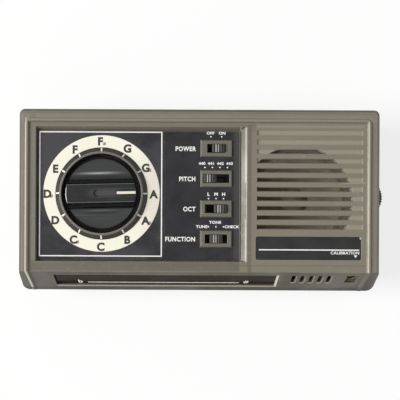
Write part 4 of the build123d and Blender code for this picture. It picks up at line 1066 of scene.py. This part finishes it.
# ------------------------------------------------------------------ badge print
badge_low, badge_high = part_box("badge_plate")
badge_z = badge_high.z
badge_top = badge_z + PRINT_T
badge_y = (badge_low.y + badge_high.y) / 2
badge_line = (
    (badge_low.x + 1.4 * MM, badge_y - 1.1 * MM, badge_z),
    (badge_high.x - 0.8 * MM, badge_y - 0.5 * MM, badge_top),
)
plates("badge_line_print", [badge_line], white_print)
words(
    "calibration_word",
    [("CALIBRATION", badge_high.x - 0.7 * MM, badge_y - 2.2 * MM, 1.4 * MM, "RIGHT")],
    white_print, badge_z, weight=0.05, width=1.05, spacing=1.09,
)
tip_x, tip_y = badge_high.x - 2.6 * MM, badge_y - 4.7 * MM
arrow_half = 0.9 * MM
tail_y = tip_y + 1.5 * arrow_half
arrow = [(tip_x, tip_y), (tip_x + arrow_half, tail_y), (tip_x - arrow_half, tail_y)]
prisms("calibration_arrow", [arrow], badge_z, badge_top, white_print)

# ------------------------------------------------------------------ window print
# The printed plane is the window's face. Its up is the run and rise of the
# sloping front, and its origin is on the window's top edge, in the object's middle.
up = Vector((0.0, 11.2, 18.3)).normalized()
outward = Vector((0.0, -up.z, up.y))
glass = read(node["display_window"].data.vertices, "co", np.float32, 3)
furthest, highest = (float((glass @ np.array(axis)).max()) for axis in (outward, up))
origin = outward * furthest + up * highest
window_place = Matrix(
    (
        (1.0, 0.0, 0.0, 0.0),
        (0.0, up.y, outward.y, origin.y),
        (0.0, up.z, outward.z, origin.z),
        (0.0, 0.0, 0.0, 1.0),
    )
)
line_y = -10.3 * MM                      # down from the window's top edge
line_half = 0.35 * MM
line_left, line_right = -57.3 * MM, 21.2 * MM
window_line = ((line_left, line_y - line_half, 0.0), (line_right, line_y + line_half, PRINT_T))
plates("window_line_print", [window_line], white_print, place=window_place)
words(
    "flat_and_sharp_marks",
    [
        ("b", line_left - 3.7 * MM, line_y + 1.0 * MM, 3.4 * MM, "CENTER"),
        ("#", line_right + 3.6 * MM, line_y + 0.8 * MM, 2.8 * MM, "CENTER"),
    ],
    white_print, 0.0, weight=0.04, place=window_place,
)


# ------------------------------------------------------------------ stage
def seen_directly(tree):
    """1 for rays from the camera, off gloss and through glass, otherwise 0."""
    path = tree.nodes.new("ShaderNodeLightPath")
    seen = maths(tree, "MAXIMUM", path.outputs["Is Camera Ray"], path.outputs["Is Glossy Ray"])
    return maths(tree, "MAXIMUM", seen, path.outputs["Is Transmission Ray"])


half = 4.0                               # from the floor's middle to its edges
floor_mesh = bpy.data.meshes.new("floor")
floor_mesh.from_pydata(
    [(-half, -half, 0.0), (half, -half, 0.0), (half, half, 0.0), (-half, half, 0.0)],
    [],
    [(0, 1, 2, 3)],
)
floor = bpy.data.objects.new("floor", floor_mesh)
bpy.context.scene.collection.objects.link(floor)
floor_paint = bpy.data.materials.new("pale floor")
floor_paint.use_nodes = True
tree = floor_paint.node_tree
tree.nodes.clear()
grey = add(tree, "ShaderNodeBsdfDiffuse", {"Color": (0.80, 0.80, 0.79, 1.0)})
glow = add(tree, "ShaderNodeEmission", {"Color": (1.0, 1.0, 1.0, 1.0), "Strength": 1.05})
glow_share = maths(tree, "MULTIPLY", seen_directly(tree), 0.72)
both = add(
    tree, "ShaderNodeMixShader", {0: glow_share, 1: grey.outputs[0], 2: glow.outputs[0]}
)
add(tree, "ShaderNodeOutputMaterial", {"Surface": both.outputs[0]})
floor_mesh.materials.append(floor_paint)

world = bpy.data.worlds.new("studio")
bpy.context.scene.world = world
world.use_nodes = True
tree = world.node_tree
tree.nodes.clear()
fill = 0.42                              # light of the white room on the object
strength = add(
    tree, "ShaderNodeMapRange", {"Value": seen_directly(tree), "To Min": fill, "To Max": 1.0}
).outputs["Result"]
sky = add(tree, "ShaderNodeBackground", {"Color": (1.0, 1.0, 1.0, 1.0), "Strength": strength})
add(tree, "ShaderNodeOutputWorld", {"Surface": sky.outputs[0]})


def softbox(name, place, aim, size, power):
    """Square area lamp that faces its aim."""
    lamp = bpy.data.lights.new(name, "AREA")
    lamp.size = size
    lamp.energy = power
    thing = bpy.data.objects.new(name, lamp)
    thing.location = place
    thing.rotation_euler = (Vector(aim) - Vector(place)).to_track_quat("-Z", "Y").to_euler()
    bpy.context.scene.collection.objects.link(thing)


softbox("left_softbox", (-3.4, -0.1, 2.4), aim=(0.0, 0.0, 0.03), size=2.2, power=205.0)

# ------------------------------------------------------------------ camera
# It looks straight down from near the front left of the middle, and its shift
# brings the object back to the middle of the view.
sensor_w = 36.0
stand_off = 0.300                        # above the deck
view_w = 199.4 * MM                      # width of the deck's plane in view
foot = Vector((-10.7 * MM, -12.4 * MM))
aim = Vector((0.35 * MM, -0.05 * MM))
lens = bpy.data.cameras.new("camera")
lens.sensor_width = sensor_w
lens.lens = sensor_w * stand_off / view_w
lens.shift_x, lens.shift_y = (aim - foot) / view_w
lens.clip_start = 0.01
camera = bpy.data.objects.new("camera", lens)
camera.location = (foot.x, foot.y, DECK * MM + stand_off)
camera.rotation_euler = (0.0, 0.0, radians(0.28))
bpy.context.scene.collection.objects.link(camera)
bpy.context.scene.camera = camera
bpy.context.scene.view_settings.view_transform = "Standard"
